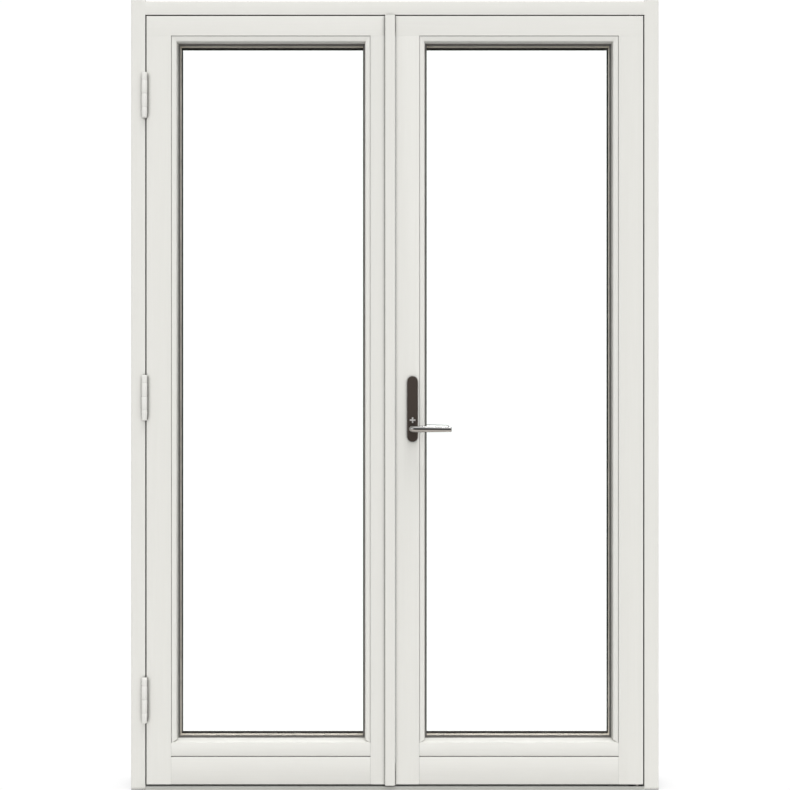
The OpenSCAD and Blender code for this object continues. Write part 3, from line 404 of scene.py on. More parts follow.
def make_paint(name, stretch):
    """Satin off-white paint with a grain that is stretched as the board runs."""
    parts = new_material(name, PAINT, 0.42, skin=520.0, drift=0.02, relief=0.05)
    add_grain(parts, stretch, PAINT_GRAIN, 0.5, 0.06)
    return parts


upright_parts = make_paint("painted_upright_wood", (260.0, 260.0, 5.0))
level_parts = make_paint("painted_level_wood", (5.0, 260.0, 260.0))
bead_parts = make_paint("painted_beads", (60.0, 60.0, 60.0))
hinge_parts = new_material("hinge_powder_coat", HINGE_WHITE, 0.36, skin=1400.0, drift=0.015,
                           relief=0.12)
# painted shade in the gaps and grooves of the jambs, stiles, head and rails
for parts in (upright_parts, level_parts):
    add_crevices(parts)
# painted shade in the hinges' chamfer rings and beside their barrels
add_crevices(hinge_parts, reach=0.004, depth=0.97)
paint_upright, paint_level, bead_paint, hinge_paint = (
    parts[0] for parts in (upright_parts, level_parts, bead_parts, hinge_parts))
print("paints:", paint_upright.name, paint_level.name, bead_paint.name, hinge_paint.name)

# %% [markdown]
# ## Metals
# The threshold cap is anodised aluminium, dull and lined along its length by the rolling. The
# hidden fittings are brushed steel, zinc-plated screws and brass bushes. The handle plates
# are dark bronze, and the levers are polished chrome. Each is the same shader with its own
# colour, shine and share of metal; only the rolled and brushed ones take grain lines.

# %% Metals
ALUMINIUM = (0.60, 0.605, 0.57)
ALUMINIUM_LINES = (0.54, 0.545, 0.515)
STEEL = (0.60, 0.60, 0.59)
STEEL_LINES = (0.52, 0.52, 0.51)
ZINC = (0.66, 0.60, 0.42)
BRASS = (0.72, 0.54, 0.24)
BRONZE = (0.078, 0.060, 0.050)
CHROME = (0.86, 0.85, 0.84)
threshold = new_material("anodised_threshold", ALUMINIUM, 0.42, skin=900.0, relief=0.04,
                         Metallic=0.35)
add_grain(threshold, (3.0, 900.0, 900.0), ALUMINIUM_LINES, 0.6, 0.12)
threshold_metal = threshold[0]
steel_parts = new_material("brushed_steel", STEEL, 0.32, relief=0.03, Metallic=1.0)
add_grain(steel_parts, (900.0, 900.0, 12.0), STEEL_LINES, 0.6, 0.08)
steel = steel_parts[0]
zinc_screw = new_material("zinc_plated_screws", ZINC, 0.30, skin=1800.0, drift=0.2,
                          Metallic=1.0)[0]
brass_bush = new_material("brass_bushes", BRASS, 0.28, drift=0.1, Metallic=1.0)[0]
bronze_plate = new_material("bronze_plates", BRONZE, 0.38, skin=1600.0, drift=0.08,
                            relief=0.16, Metallic=0.25)[0]
chrome_lever = new_material("chrome_levers", CHROME, 0.07, skin=160.0, drift=0.02,
                            relief=0.01, Metallic=1.0)[0]
print("metals:", threshold_metal.name, steel.name, zinc_screw.name, brass_bush.name,
      bronze_plate.name, chrome_lever.name)

# %% [markdown]
# ## Rubber
# The weather seals are dark rubber with little shine. The glazing gaskets are the same rubber,
# but their outer lip is a lighter grey, and deeper in, towards the sealed unit, painted shade
# turns them near black, so their colour changes with depth. Two materials on two groups of
# faces would also do that, with a hard line between them.

# %% Rubber of the seals
RUBBER = (0.045, 0.043, 0.041)
LIP_GREY_RUBBER = (0.135, 0.13, 0.122)
SHADED_BLACK_RUBBER = (0.004, 0.0035, 0.0035)
LIP_Y = -0.030
UNIT_Y = -0.012
seal_rubber = new_material("seal_rubber", RUBBER, 0.7, skin=2200.0, drift=0.2, relief=0.2,
                           Specular_IOR_Level=0.12)[0]
glazing_seal, seal_tree, seal_shader, seal_skin, _ = new_material(
    "glazing_seal", LIP_GREY_RUBBER, 0.6, skin=2200.0, drift=0.1, relief=0.15,
    Specular_IOR_Level=0.2)
# deeper into the unit the gasket colour fades to near black: painted shade
seal_place = add(seal_tree, "ShaderNodeTexCoord")
seal_split = add(seal_tree, "ShaderNodeSeparateXYZ")
seal_depth = add(seal_tree, "ShaderNodeMapRange", inputs={"From Min": LIP_Y, "From Max": UNIT_Y})
seal_shade_mix = add(seal_tree, "ShaderNodeMix", data_type="RGBA")
seal_shade_mix.inputs["B"].default_value = (*SHADED_BLACK_RUBBER, 1.0)
wire(seal_tree,
     (seal_place.outputs["Object"], seal_split.inputs["Vector"]),
     (seal_split.outputs["Y"], seal_depth.inputs["Value"]),
     (seal_depth.outputs["Result"], seal_shade_mix.inputs["Factor"]),
     (seal_skin.outputs["Colour"], seal_shade_mix.inputs["A"]),
     (seal_shade_mix.outputs["Result"], seal_shader.inputs["Base Color"]))
print("rubber:", seal_rubber.name, glazing_seal.name)

# %% [markdown]
# ## Plastics
# The wall sleeves are white plastic and the setting blocks under the glass dark plastic. The
# threshold's core is a speckled composite, the snib is a plain grey cap, and the spacer bar
# between the panes is a warm pale plastic. They differ only in colour, shine and skin, so each
# is one line.

# %% Plastics and the core of the threshold
white_plastic = new_material("white_plastic", (0.80, 0.80, 0.78), 0.35, skin=1200.0)[0]
block_plastic = new_material("block_plastic", (0.05, 0.055, 0.065), 0.45, skin=1200.0)[0]
sill_core = new_material("composite_core", (0.20, 0.19, 0.175), 0.7, skin=1600.0, drift=0.3,
                         relief=0.3)[0]
snib_plastic = new_material("grey_snib", (0.47, 0.455, 0.44), 0.40, skin=1500.0,
                            relief=0.08)[0]
warm_edge = new_material("spacer_bar", (0.82, 0.745, 0.65), 0.38, skin=1300.0, drift=0.04,
                         relief=0.06)[0]
print(len(bpy.data.materials), "materials so far")

# %% [markdown]
# ## Glass
# A sealed unit has two clear panes. The shader has to let all light through and bend it, which
# is the Principled shader's transmission. Pure transparency would lose the reflections, and a
# glass shader would do the same job, but the Principled one stays readable after an export.
# The very slight waviness of float glass goes into the relief.

# %% Glass
CLEAR_GLASS = (0.985, 1.0, 0.992)
pane_glass, glass_tree, glass_shader, _, _ = new_material(
    "pane_glass", CLEAR_GLASS, 0.0, skin=5.0, drift=0.0, relief=0.0015, depth=0.0001,
    Transmission_Weight=1.0, IOR=1.45)
glass_tree.links.remove(glass_shader.inputs["Roughness"].links[0])
glass_shader.inputs["Roughness"].default_value = 0.0
print("glass:", pane_glass.name)

# %% [markdown]
# ## Dressing the measured pieces
# Every measured piece names the slot that its finish comes from, so one table from slot to
# material dresses the whole door. Two kinds of piece need a second look: boards, because grain
# runs along them, upright on jambs and stiles and level on the head and the rails, and the
# gaskets, which get the rubber that darkens with depth.

# %% Give every measured piece its finish
FINISHES = {
    "painted_wood": paint_upright, "bead_paint": bead_paint, "hinge_paint": hinge_paint,
    "sill_core": sill_core, "threshold_metal": threshold_metal, "seal_rubber": seal_rubber,
    "zinc_screw": zinc_screw, "white_plastic": white_plastic, "steel": steel,
    "brass_bush": brass_bush, "pane_glass": pane_glass, "warm_edge": warm_edge,
    "block_plastic": block_plastic, "bronze_plate": bronze_plate, "chrome_lever": chrome_lever,
    "snib_plastic": snib_plastic,
}
LEVEL_BOARDS = ("head_rail", "left_top_rail", "left_bottom_rail",
                "right_top_rail", "right_bottom_rail")
slot_of = {name: node.material_slots[0].material.name.split(".")[0]
           for name, node in cad_nodes.items()}
for name, node in cad_nodes.items():
    finish = paint_level if name in LEVEL_BOARDS else FINISHES[slot_of[name]]
    finish = glazing_seal if name.endswith("gaskets") else finish
    for material_slot in node.material_slots:
        material_slot.material = finish
print("dressed", len(cad_nodes), "pieces from", len(set(slot_of.values())), "slots")

# %% [markdown]
# ## Easing the arrises
# No joiner leaves a machined corner sharp: paint runs thin on it and it splinters. Every long
# corner of the frame, the leaves, the beads and the threshold cap is eased, apart from the
# sawn ones that go against the wall. The measured pieces stay as they are, so each is copied,
# its loose triangles are merged and joined into flat faces, and only then are its long outside
# corners bevelled. A bevel shader would fake the same soft line in a render, but it would be
# lost in the exported mesh.

# %% Copy a measured piece to work on it
MERGE_WITHIN = 0.01 * MM
FLAT_WITHIN = math.radians(0.3)


def remake(name):
    """A merged copy of a measured piece, left in edit mode."""
    node = cad_nodes[name]
    piece = node.copy()
    piece.data = node.data.copy()
    piece.name = "eased_" + name
    for key in list(piece.keys()):
        del piece[key]
    piece.parent = None
    scene.collection.objects.link(piece)
    only(piece)
    bpy.ops.mesh.customdata_custom_splitnormals_clear()
    bpy.ops.object.mode_set(mode="EDIT")
    bpy.ops.mesh.select_all(action="SELECT")
    bpy.ops.mesh.remove_doubles(threshold=MERGE_WITHIN)
    bpy.ops.mesh.dissolve_limited(angle_limit=FLAT_WITHIN)
    return piece


print("copies are merged within", MERGE_WITHIN, "m")

# %% Put a finished piece in place of a measured one
SMOOTH_UNDER = 40


def stand_in(piece, name, finish=None, angle=SMOOTH_UNDER):
    """Lets a finished piece take the place of a measured one, on its body."""
    only(piece)
    bpy.ops.object.shade_smooth_by_angle(angle=math.radians(angle))
    if finish is not None:
        piece.data.materials.clear()
        piece.data.materials.append(finish)
    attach(piece, cad_nodes[name]["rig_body"])
    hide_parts(name)


print("finished pieces are smooth under", SMOOTH_UNDER, "degrees")

# %% Choose corners and bevel them
def corner(edge, sharper_than=SMOOTH_UNDER):
    """True for an outside corner between two faces."""
    return (len(edge.link_faces) == 2 and edge.is_convex
            and edge.calc_face_angle(0.0) > math.radians(sharper_than))


def soften(piece, test, width, segments=2):
    """In edit mode, bevels the edges that pass a test, and says how many passed."""
    count = pick_edges(piece, test)
    if count:
        bpy.ops.mesh.bevel(offset=width, offset_type="OFFSET", segments=segments, profile=0.5,
                           affect="EDGES", clamp_overlap=False)
    return count


print("helpers: corner, soften")

# %% Ease the woodwork and the threshold
ARRIS = {"painted_wood": 0.7 * MM, "bead_paint": 1.1 * MM, "threshold_metal": 0.5 * MM}
LONG_EDGE = 100 * MM
WALL_SIDE = abs(frame_low.x) - 1 * MM
WALL_TOP = frame_top - 3 * MM


def eased_corner(edge):
    """True for a long outside corner, apart from the sawn ones that go against the wall."""
    at_wall = any(abs(v.co.x) > WALL_SIDE or v.co.z > WALL_TOP for v in edge.verts)
    return corner(edge) and edge.calc_length() > LONG_EDGE and not at_wall


eased = 0
for name in sorted(cad_nodes):
    if slot_of[name] in ARRIS and name != "cover_strip":
        piece = remake(name)
        eased += soften(piece, eased_corner, ARRIS[slot_of[name]])
        stand_in(piece, name)
print("eased", eased, "long corners")

# %% [markdown]
# ## The cover strip
# The strip that hides the meeting of the two leaves is a plain moulding, glued to the left leaf.
# Its free edge, the one that hands and bags brush past, is worked to a wide round, and its other
# edges are only eased. It is a block at the strip's own size, bevelled to three widths; a swept
# profile would give the same shape with more steps.

# %% Model the cover strip
strip_low, strip_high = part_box("cover_strip")
STRIP_NOSE = 5.5 * MM
NOSE_SEGMENTS = 6
STRIP_EASE = 1.0 * MM
STRIP_END = 0.5 * MM
CLOSE = 0.01 * MM
bpy.ops.object.select_all(action="DESELECT")
bpy.ops.mesh.primitive_cube_add(size=1.0, location=(strip_low + strip_high) / 2)
strip = bpy.context.object
strip.name = "rounded_cover_strip"
strip.scale = strip_high - strip_low
settle(strip)
bpy.ops.object.mode_set(mode="EDIT")


def along_strip(edge, x):
    """True for the long edge at the front of the strip, on the side named by x."""
    return all(abs(v.co.x - x) < CLOSE and abs(v.co.y - strip_low.y) < CLOSE
               for v in edge.verts)


def level_edge(edge):
    """True for an edge whose two ends are at the same height."""
    return abs(edge.verts[0].co.z - edge.verts[1].co.z) < 0.1 * CLOSE


def end_of_strip(edge):
    """True for a level corner at either end of the strip, away from its glued back."""
    return (corner(edge) and level_edge(edge)
            and all(v.co.y < strip_high.y - CLOSE for v in edge.verts))


soften(strip, lambda edge: along_strip(edge, strip_high.x), STRIP_NOSE,
       segments=NOSE_SEGMENTS)
soften(strip, lambda edge: along_strip(edge, strip_low.x), STRIP_EASE)
ends = soften(strip, end_of_strip, STRIP_END, segments=1)
stand_in(strip, "cover_strip", paint_upright)
print("cover strip with", len(strip.data.polygons), "faces; end edges eased:", ends)

# %% [markdown]
# ## Hinges
# A lift-off hinge of this kind is a stack of turned barrels, each chamfered at its ends so that
# the joints show as fine dark rings, which painted shade in the chamfer grooves darkens further.
# The measured barrels are right in size, so the copies only need their rims turned down. Rims
# are found by place: level edges on the outside of the barrel.

# %% Chamfer the hinge barrels
cap_low, cap_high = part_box("hinge_top_caps")
hinge_x = (cap_low.x + cap_high.x) / 2
hinge_y = (cap_low.y + cap_high.y) / 2
barrel_r = (cap_high.x - cap_low.x) / 2
RIM_CHAMFER = 1.1 * MM
RIM_CORNER = 30


def on_rim(edge):
    """True for a level edge on the outside of a barrel."""
    outer = all(math.hypot(v.co.x - hinge_x, v.co.y - hinge_y) > barrel_r - 0.1 * MM
                for v in edge.verts)
    return corner(edge, RIM_CORNER) and level_edge(edge) and outer


HINGE_PIECES = [name for name in sorted(cad_nodes) if slot_of[name] == "hinge_paint"]
for name in HINGE_PIECES:
    piece = remake(name)
    rims = soften(piece, on_rim, RIM_CHAMFER)
    stand_in(piece, name)
    print(name, "rim edges chamfered:", rims)

# %% [markdown]
# ## Handle plates and snib
# The backplates are pressed bronze with a soft rolled rim. As with the hinges, the measured
# plate has the right outline and holes, so its copy only gets its front rim rounded. The cross
# of the snib gets a slight round too.

# %% Round the plates and the snib
plate_r = (plate_high.x - plate_low.x) / 2
PLATE_ROUND = 0.7 * MM
PLATE_SEGMENTS = 5
PLATE_SMOOTH = 30
PLATE_CORNER = 15
RIM_BAND = 4 * MM
SNIB_ROUND = 0.4 * MM


def on_plate_rim(edge, front):
    """True for an edge that runs round the plate, near its front face."""
    def outside(point):
        nearest = min(max(point.z, plate_low.z + plate_r), plate_high.z - plate_r)
        return math.hypot(point.x - spindle_x, point.z - nearest) > plate_r - RIM_BAND

    first, second = (v.co for v in edge.verts)
    flat = abs(first.y - second.y) < CLOSE and abs(first.y - front) < RIM_BAND
    return corner(edge, PLATE_CORNER) and flat and outside(first) and outside(second)


inside_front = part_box("inside_plate")[1].y
for name, front in (("outside_plate", plate_low.y), ("inside_plate", inside_front)):
    piece = remake(name)
    rim = soften(piece, lambda edge: on_plate_rim(edge, front), PLATE_ROUND,
                 segments=PLATE_SEGMENTS)
    stand_in(piece, name, angle=PLATE_SMOOTH)
    print(name, "outline edges rounded:", rim)
snib_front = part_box("snib_button")[0].y
snib = remake("snib_button")


def on_snib_front(edge):
    """True for a corner of the snib's front face."""
    return corner(edge) and all(abs(v.co.y - snib_front) < CLOSE for v in edge.verts)


print("snib edges rounded:", soften(snib, on_snib_front, SNIB_ROUND))
stand_in(snib, "snib_button")

# %% [markdown]
# ## Levers
# Each lever is one polished bar: a neck that comes out of the plate, a tight bend, and a grip
# that thins a little towards a rounded end. By hand it is a ring of edges that is extruded out,
# spun round the bend and extruded on. A curve with a bevel would be quicker, but its section
# could not change from the round neck to the oval grip on the way.

# %% Start a lever at the plate
NECK_R = 7.8 * MM
HEAD_X = 9.5 * MM
HEAD_Z = 8.6 * MM
BEND_R = 10.5 * MM
RING_POINTS = 40
QUARTER = math.radians(90)
grip_y = lever_low.y + HEAD_X
neck_start = lever_high.y
bpy.ops.object.select_all(action="DESELECT")
bpy.ops.mesh.primitive_circle_add(vertices=RING_POINTS, radius=NECK_R, fill_type="NOTHING",
                                  location=(spindle_x, neck_start, spindle_z),
                                  rotation=(QUARTER, 0, 0))
lever = bpy.context.object
lever.name = "bar_outside_lever"
settle(lever)
bpy.ops.object.mode_set(mode="EDIT")
bpy.ops.mesh.select_mode(type="EDGE")
bpy.ops.mesh.select_all(action="SELECT")


def push(move, scale=(1, 1, 1), centre=None):
    """Extrudes the open end by a move, then scales it about its centre."""
    bpy.ops.mesh.extrude_region_move(TRANSFORM_OT_translate={"value": move})
    if centre is not None:
        bpy.ops.transform.resize(value=scale, center_override=centre)


NECK_CLEAR = 2 * MM
neck_y = plate_low.y - NECK_CLEAR
push((0, neck_y - neck_start, 0))
print("neck leaves the plate at y", round(neck_y, 4))

# %% [markdown]
# ## From a round neck to an oval grip
# The neck swells on its way out of the plate and becomes wider than it is high, which fits the
# hand. Each step pushes the open ring out and stretches it a little, along a cosine, so that
# neither the start nor the end of the swelling shows. Two rings joined at once would show both.

# %% Swell the neck
FLARE_STEPS = 6
FLARE_STEP = 1.6 * MM
flare_x = flare_z = NECK_R
for step in range(1, FLARE_STEPS + 1):
    share = (1 - math.cos(math.pi * step / FLARE_STEPS)) / 2
    next_x = NECK_R + (HEAD_X - NECK_R) * share
    next_z = NECK_R + (HEAD_Z - NECK_R) * share
    neck_y -= FLARE_STEP
    push((0, -FLARE_STEP, 0), (next_x / flare_x, 1, next_z / flare_z),
         (spindle_x, neck_y, spindle_z))
    flare_x, flare_z = next_x, next_z
push((0, grip_y + BEND_R - neck_y, 0))
print("neck runs to y", round(grip_y + BEND_R, 4))

# %% [markdown]
# ## The bend and the grip
# The bar is bent a quarter turn and runs on sideways, a little thinner and lower towards its
# end. Spinning the open ring round an upright axis makes the bend in one step, and a positive
# angle would turn it into the door, so the angle is negative. The grip is then pushed out in
# short steps that shrink the ring.

# %% Bend the neck into the grip
BEND_STEPS = 12
GRIP_STEPS = 12
GRIP_END = 0.80
GRIP_DROP = 0.9 * MM
ROUND_END = 2.5 * MM
bpy.ops.mesh.spin(steps=BEND_STEPS, angle=-QUARTER,
                  center=(spindle_x + BEND_R, grip_y + BEND_R, spindle_z), axis=(0, 0, 1))
grip_x, grip_z, grip_scale = spindle_x + BEND_R, spindle_z, 1.0
grip_length = lever_high.x - ROUND_END - grip_x
for step in range(1, GRIP_STEPS + 1):
    next_scale = 1 - (1 - GRIP_END) * step / GRIP_STEPS
    grip_x += grip_length / GRIP_STEPS
    grip_z -= GRIP_DROP / GRIP_STEPS
    push((grip_length / GRIP_STEPS, 0, -GRIP_DROP / GRIP_STEPS),
         (1, next_scale / grip_scale, next_scale / grip_scale), (grip_x, grip_y, grip_z))
    grip_scale = next_scale
print("grip runs to x", round(grip_x, 4))

# %% [markdown]
# ## The end of the grip
# The end is rounded over like a pebble. Each ring is pushed out and shrunk along a quarter of
# a circle. A bevel on a flat end would do nearly the same. Doubles are then merged, the two
# open ends of the bar are closed with a face, and the normals are turned outwards, because a
# spin can leave them inside out.

# %% Round the end of the grip
END_STEPS = 5
LEVER_MERGE = 0.005 * MM
LEVER_SMOOTH = 45
end_r = HEAD_Z * GRIP_END
radius = end_r
for step in range(1, END_STEPS + 1):
    turn = QUARTER * step / END_STEPS
    before = QUARTER * (step - 1) / END_STEPS
    next_radius = end_r - ROUND_END * (1 - math.cos(turn))
    move = ROUND_END * (math.sin(turn) - math.sin(before))
    grip_x += move
    push((move, 0, 0), (1, next_radius / radius, next_radius / radius), (grip_x, grip_y, grip_z))
    radius = next_radius
bpy.ops.mesh.select_all(action="SELECT")
bpy.ops.mesh.remove_doubles(threshold=LEVER_MERGE)
bpy.ops.mesh.fill_holes(sides=0)
bpy.ops.mesh.select_all(action="SELECT")
bpy.ops.mesh.normals_make_consistent(inside=False)
stand_in(lever, "outside_lever", chrome_lever, angle=LEVER_SMOOTH)
lever_points = [v.co for v in lever.data.vertices]
print("lever from x", round(min(p.x for p in lever_points), 4),
      "to", round(max(p.x for p in lever_points), 4),
      "y", round(min(p.y for p in lever_points), 4), "faces", len(lever.data.polygons))

# %% [markdown]
# ## The lever on the room side
# The same bar is fitted to the other end of the spindle, mirrored in the middle of the leaf.
# The finished lever is copied with its own mesh and turned over by a scale of minus one in
# depth. That turns its faces inside out, so the normals are recalculated afterwards.

# %% Copy the lever to the room side
room_lever = lever.copy()
room_lever.data = lever.data.copy()
room_lever.name = "bar_inside_lever"
for key in list(room_lever.keys()):
    del room_lever[key]
room_lever.parent = None
scene.collection.objects.link(room_lever)
only(room_lever)
bpy.ops.object.mode_set(mode="EDIT")
bpy.ops.mesh.select_all(action="SELECT")
bpy.ops.transform.resize(value=(1, -1, 1),
                         center_override=(spindle_x, leaf_mid_y, spindle_z))
bpy.ops.mesh.normals_make_consistent(inside=False)
stand_in(room_lever, "inside_lever", angle=LEVER_SMOOTH)
print("room-side lever to y", round(max(v.co.y for v in room_lever.data.vertices), 4))

# %% [markdown]
# ## The studio
# The door stands on a pale floor in an even white room. The light is broad and comes mostly
# from the front and from above, so faces turned to the side are a little darker and the
# leaves' mouldings show. Area lights could do this too, but each would be mirrored in the
# levers and the panes, so the room is one world shader that is brighter in some directions.

# %% Start the room
world = bpy.data.worlds.new("studio")
scene.world = world
world.use_nodes = True
sky = world.node_tree
sky.nodes.clear()
sky_out = add(sky, "ShaderNodeOutputWorld")
direction = add(sky, "ShaderNodeTexCoord")
split = add(sky, "ShaderNodeSeparateXYZ")
rays = add(sky, "ShaderNodeLightPath")
wire(sky, (direction.outputs["Generated"], split.inputs["Vector"]))


def sky_math(operation, first, second):
    """A math node in the world shader, on sockets or plain numbers."""
    node = add(sky, "ShaderNodeMath", operation=operation)
    for socket, value in zip(node.inputs, (first, second)):
        if isinstance(value, (int, float)):
            socket.default_value = value
        else:
            sky.links.new(value, socket)
    return node.outputs["Value"]


print("room", world.name, "started with", len(sky.nodes), "nodes")

# %% Soft light from each direction
FROM_FRONT = 0.94
FROM_BACK = 0.85
FROM_ABOVE = 0.50
FROM_SIDE = 0.05
ALL_ROUND = 0.38
GAIN_IN_GLASS = 2.4
to_front = sky_math("MAXIMUM", sky_math("MULTIPLY", split.outputs["Y"], -1.0), 0.0)
to_back = sky_math("MAXIMUM", split.outputs["Y"], 0.0)
to_top = sky_math("MAXIMUM", split.outputs["Z"], 0.0)
lateral = sky_math("MULTIPLY", split.outputs["X"], FROM_SIDE)
soft = sky_math("ADD", sky_math("MULTIPLY", to_front, FROM_FRONT),
                sky_math("MULTIPLY", to_back, FROM_BACK))
soft = sky_math("ADD", soft, sky_math("MULTIPLY", to_top, FROM_ABOVE))
soft = sky_math("ADD", sky_math("ADD", soft, lateral), ALL_ROUND)
within_glass = sky_math("MULTIPLY", rays.outputs["Is Transmission Ray"], GAIN_IN_GLASS)
soft = sky_math("MULTIPLY", soft, sky_math("ADD", within_glass, 1.0))
soft_light = add(sky, "ShaderNodeBackground")
wire(sky, (soft, soft_light.inputs["Strength"]))
print("soft light on", len(sky.nodes), "nodes")

# %% [markdown]
# ## What shiny pieces mirror
# A polished lever in a plain white room would look like chalk: metal shows only what it
# mirrors. So rays that have met a shiny surface see a band at eye level that is darker than
# the ceiling and the sides. Dark boards beside a real lever do the same job in a real studio.

# %% The band that is mirrored
SIDE_SHARE = 0.12
mirrored = add(sky, "ShaderNodeBackground")
band = add(sky, "ShaderNodeMapRange", interpolation_type="SMOOTHSTEP",
           inputs={"From Min": 0.48, "From Max": 0.92, "To Min": 0.06, "To Max": 0.80})
sideways = sky_math("SUBTRACT", sky_math("ABSOLUTE", split.outputs["X"], 0.0), SIDE_SHARE)
glossy_path = sky_math("GREATER_THAN", rays.outputs["Glossy Depth"], 0.5)
by_gloss = add(sky, "ShaderNodeMixShader")
wire(sky,
     (sky_math("MAXIMUM", split.outputs["Z"], sideways), band.inputs["Value"]),
     (band.outputs["Result"], mirrored.inputs["Strength"]),
     (glossy_path, by_gloss.inputs["Fac"]),
     (soft_light.outputs["Background"], by_gloss.inputs[1]),
     (mirrored.outputs["Background"], by_gloss.inputs[2]))
print("mirrored band on", len(sky.nodes), "nodes")

# %% [markdown]
# ## What the eye sees of the room
# Behind the door the room has to read as plain white. Only a straight look, or a look through
# clear glass, sees that white room; it is a little brighter through the glass, because two
# panes take some light away. A white wall behind the door would need its own even light and
# would throw shadows.

# %% The white room
WHITE_ROOM = 1.02
BRIGHT_ROOM = 1.22
PLAIN_WHITE = (1, 1, 1, 1)
white_room = add(sky, "ShaderNodeBackground",
                 inputs={"Color": PLAIN_WHITE, "Strength": WHITE_ROOM})
bright_room = add(sky, "ShaderNodeBackground",
                  inputs={"Color": PLAIN_WHITE, "Strength": BRIGHT_ROOM})
bounces = sky_math("ADD", rays.outputs["Diffuse Depth"], rays.outputs["Glossy Depth"])
straight = sky_math("LESS_THAN", bounces, 0.5)
through_glass = sky_math("MULTIPLY", rays.outputs["Is Transmission Ray"], straight)
by_camera = add(sky, "ShaderNodeMixShader")
by_glass = add(sky, "ShaderNodeMixShader")
wire(sky,
     (rays.outputs["Is Camera Ray"], by_camera.inputs["Fac"]),
     (by_gloss.outputs["Shader"], by_camera.inputs[1]),
     (white_room.outputs["Background"], by_camera.inputs[2]),
     (through_glass, by_glass.inputs["Fac"]),
     (by_camera.outputs["Shader"], by_glass.inputs[1]),
     (bright_room.outputs["Background"], by_glass.inputs[2]),
     (by_glass.outputs["Shader"], sky_out.inputs["Surface"]))
print("white room on", len(sky.nodes), "nodes")

# %% [markdown]
# ## The floor
# The floor is pale and runs out of sight. To the eye it glows as white as the room, apart from
# a soft painted contact shadow where the door stands on it, which ambient occlusion gives
# without a hard shadow.
# To the door itself it is a diffuse floor that throws light back up, and to shiny pieces it
# glows warm grey nearby and dark far out in front, as a painted reflection. One large plane
# carries all three.

# %% Lay the floor
FLOOR_SIZE = 24.0
FLOOR_DROP = 0.4 * MM
bpy.ops.object.select_all(action="DESELECT")
bpy.ops.mesh.primitive_plane_add(size=FLOOR_SIZE, location=(0, 0, -FLOOR_DROP))
floor = bpy.context.object
floor.name = "studio_floor"
floor_material = bpy.data.materials.new("pale_floor")
floor_material.use_nodes = True
floor_tree = floor_material.node_tree
floor_tree.nodes.clear()
floor_out = add(floor_tree, "ShaderNodeOutputMaterial")
floor_rays = add(floor_tree, "ShaderNodeLightPath")
floor.data.materials.append(floor_material)
print("floor", FLOOR_SIZE, "m wide")

# %% What shiny pieces see of the floor
floor_place = add(floor_tree, "ShaderNodeTexCoord")
floor_split = add(floor_tree, "ShaderNodeSeparateXYZ")
away = add(floor_tree, "ShaderNodeMath", operation="ABSOLUTE")
nearness = add(floor_tree, "ShaderNodeMapRange", interpolation_type="SMOOTHSTEP",
               inputs={"From Min": 0.9, "From Max": 2.2, "To Min": 0.50, "To Max": 0.06})
# shiny pieces see the floor glow, warm near the door and dark far out: a painted reflection
glow_for_reflections = add(floor_tree, "ShaderNodeEmission", inputs={"Color": (1.0, 0.93, 0.86, 1)})
pale = add(floor_tree, "ShaderNodeBsdfDiffuse", inputs={"Color": (0.60, 0.60, 0.595, 1)})
after_gloss = add(floor_tree, "ShaderNodeMath", operation="GREATER_THAN", inputs={1: 0.5})
floor_by_gloss = add(floor_tree, "ShaderNodeMixShader")
wire(floor_tree,
     (floor_place.outputs["Object"], floor_split.inputs["Vector"]),
     (floor_split.outputs["Y"], away.inputs[0]),
     (away.outputs["Value"], nearness.inputs["Value"]),
     (nearness.outputs["Result"], glow_for_reflections.inputs["Strength"]),
     (floor_rays.outputs["Glossy Depth"], after_gloss.inputs[0]),
     (after_gloss.outputs["Value"], floor_by_gloss.inputs["Fac"]),
     (pale.outputs["BSDF"], floor_by_gloss.inputs[1]),
     (glow_for_reflections.outputs["Emission"], floor_by_gloss.inputs[2]))
print("mirrored floor on", len(floor_tree.nodes), "nodes")

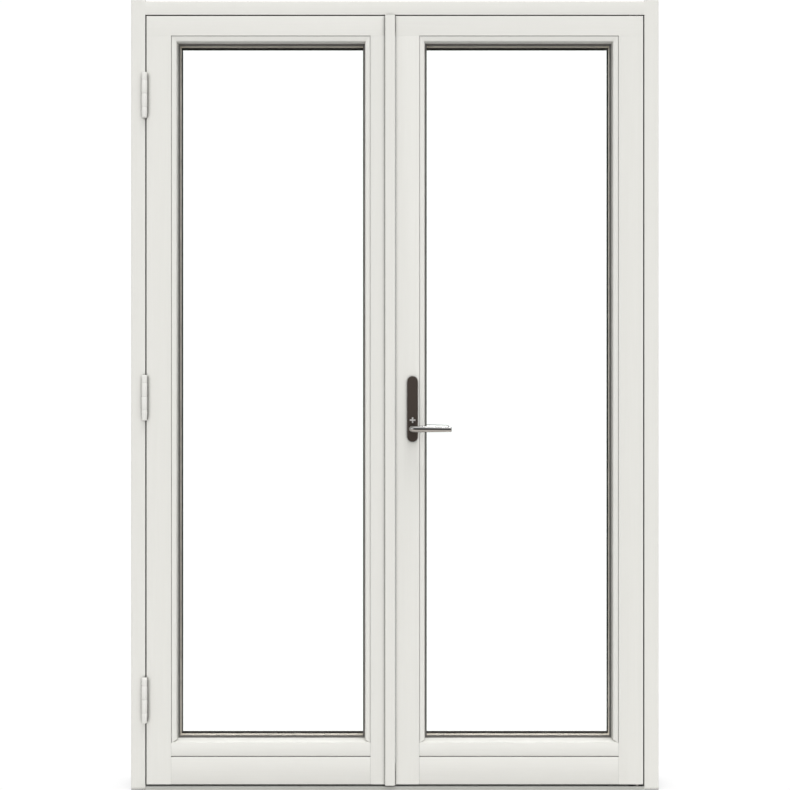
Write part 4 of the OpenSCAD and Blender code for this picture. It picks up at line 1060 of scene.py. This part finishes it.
# %% What the eye sees of the floor
CONTACT_REACH = 0.25
FLOOR_GAIN_IN_GLASS = 1.2
# ambient occlusion dims the floor's glow near the door: a painted contact shadow
openness = add(floor_tree, "ShaderNodeAmbientOcclusion", samples=8,
               inputs={"Distance": CONTACT_REACH})
painted_contact_shadow = add(floor_tree, "ShaderNodeMapRange", interpolation_type="SMOOTHSTEP",
              inputs={"From Min": 0.25, "From Max": 0.85, "To Min": 0.76, "To Max": 1.02})
through = add(floor_tree, "ShaderNodeMath", operation="MULTIPLY",
              inputs={1: FLOOR_GAIN_IN_GLASS})
floor_bounces = add(floor_tree, "ShaderNodeMath", operation="ADD")
unbounced = add(floor_tree, "ShaderNodeMath", operation="LESS_THAN", inputs={1: 0.5})
looked_at = add(floor_tree, "ShaderNodeMath", operation="MAXIMUM")
seen = add(floor_tree, "ShaderNodeMath", operation="MULTIPLY")
strength = add(floor_tree, "ShaderNodeMix", data_type="FLOAT")
floor_glow = add(floor_tree, "ShaderNodeEmission")
by_sight = add(floor_tree, "ShaderNodeMixShader")
wire(floor_tree,
     (openness.outputs["AO"], painted_contact_shadow.inputs["Value"]),
     (painted_contact_shadow.outputs["Result"], through.inputs[0]),
     (floor_rays.outputs["Diffuse Depth"], floor_bounces.inputs[0]),
     (floor_rays.outputs["Glossy Depth"], floor_bounces.inputs[1]),
     (floor_bounces.outputs["Value"], unbounced.inputs[0]),
     (floor_rays.outputs["Is Camera Ray"], looked_at.inputs[0]),
     (floor_rays.outputs["Is Transmission Ray"], looked_at.inputs[1]),
     (looked_at.outputs["Value"], seen.inputs[0]),
     (unbounced.outputs["Value"], seen.inputs[1]),
     (floor_rays.outputs["Is Transmission Ray"], strength.inputs["Factor"]),
     (painted_contact_shadow.outputs["Result"], strength.inputs["A"]),
     (through.outputs["Value"], strength.inputs["B"]),
     (strength.outputs["Result"], floor_glow.inputs["Strength"]),
     (seen.outputs["Value"], by_sight.inputs["Fac"]),
     (floor_by_gloss.outputs["Shader"], by_sight.inputs[1]),
     (floor_glow.outputs["Emission"], by_sight.inputs[2]),
     (by_sight.outputs["Shader"], floor_out.inputs["Surface"]))
print("floor on", len(floor_tree.nodes), "nodes")

# %% [markdown]
# ## The top light
# One broad lamp high in front gives the mouldings their soft shadows. It is a sun, so its
# light is as strong at the threshold as at the head, and its wide disc keeps the shadows soft.
# Shiny pieces don't mirror it, because its disc would leave a hard white patch on the levers.

# %% Hang the top light
TOP_STRENGTH = 1.8
TOP_SPREAD = math.radians(35)
TOP_AIM = Vector((-0.10, 0.28, -1.0))
top_data = bpy.data.lights.new("soft_top", "SUN")
top_data.energy = TOP_STRENGTH
top_data.angle = TOP_SPREAD
top_light = bpy.data.objects.new("soft_top", top_data)
top_light.location = (0.4, -1.2, 4.0)
top_light.rotation_euler = TOP_AIM.to_track_quat("-Z", "Y").to_euler()
top_light.visible_glossy = False
scene.collection.objects.link(top_light)
print("top light of", top_data.energy, "W per square metre")
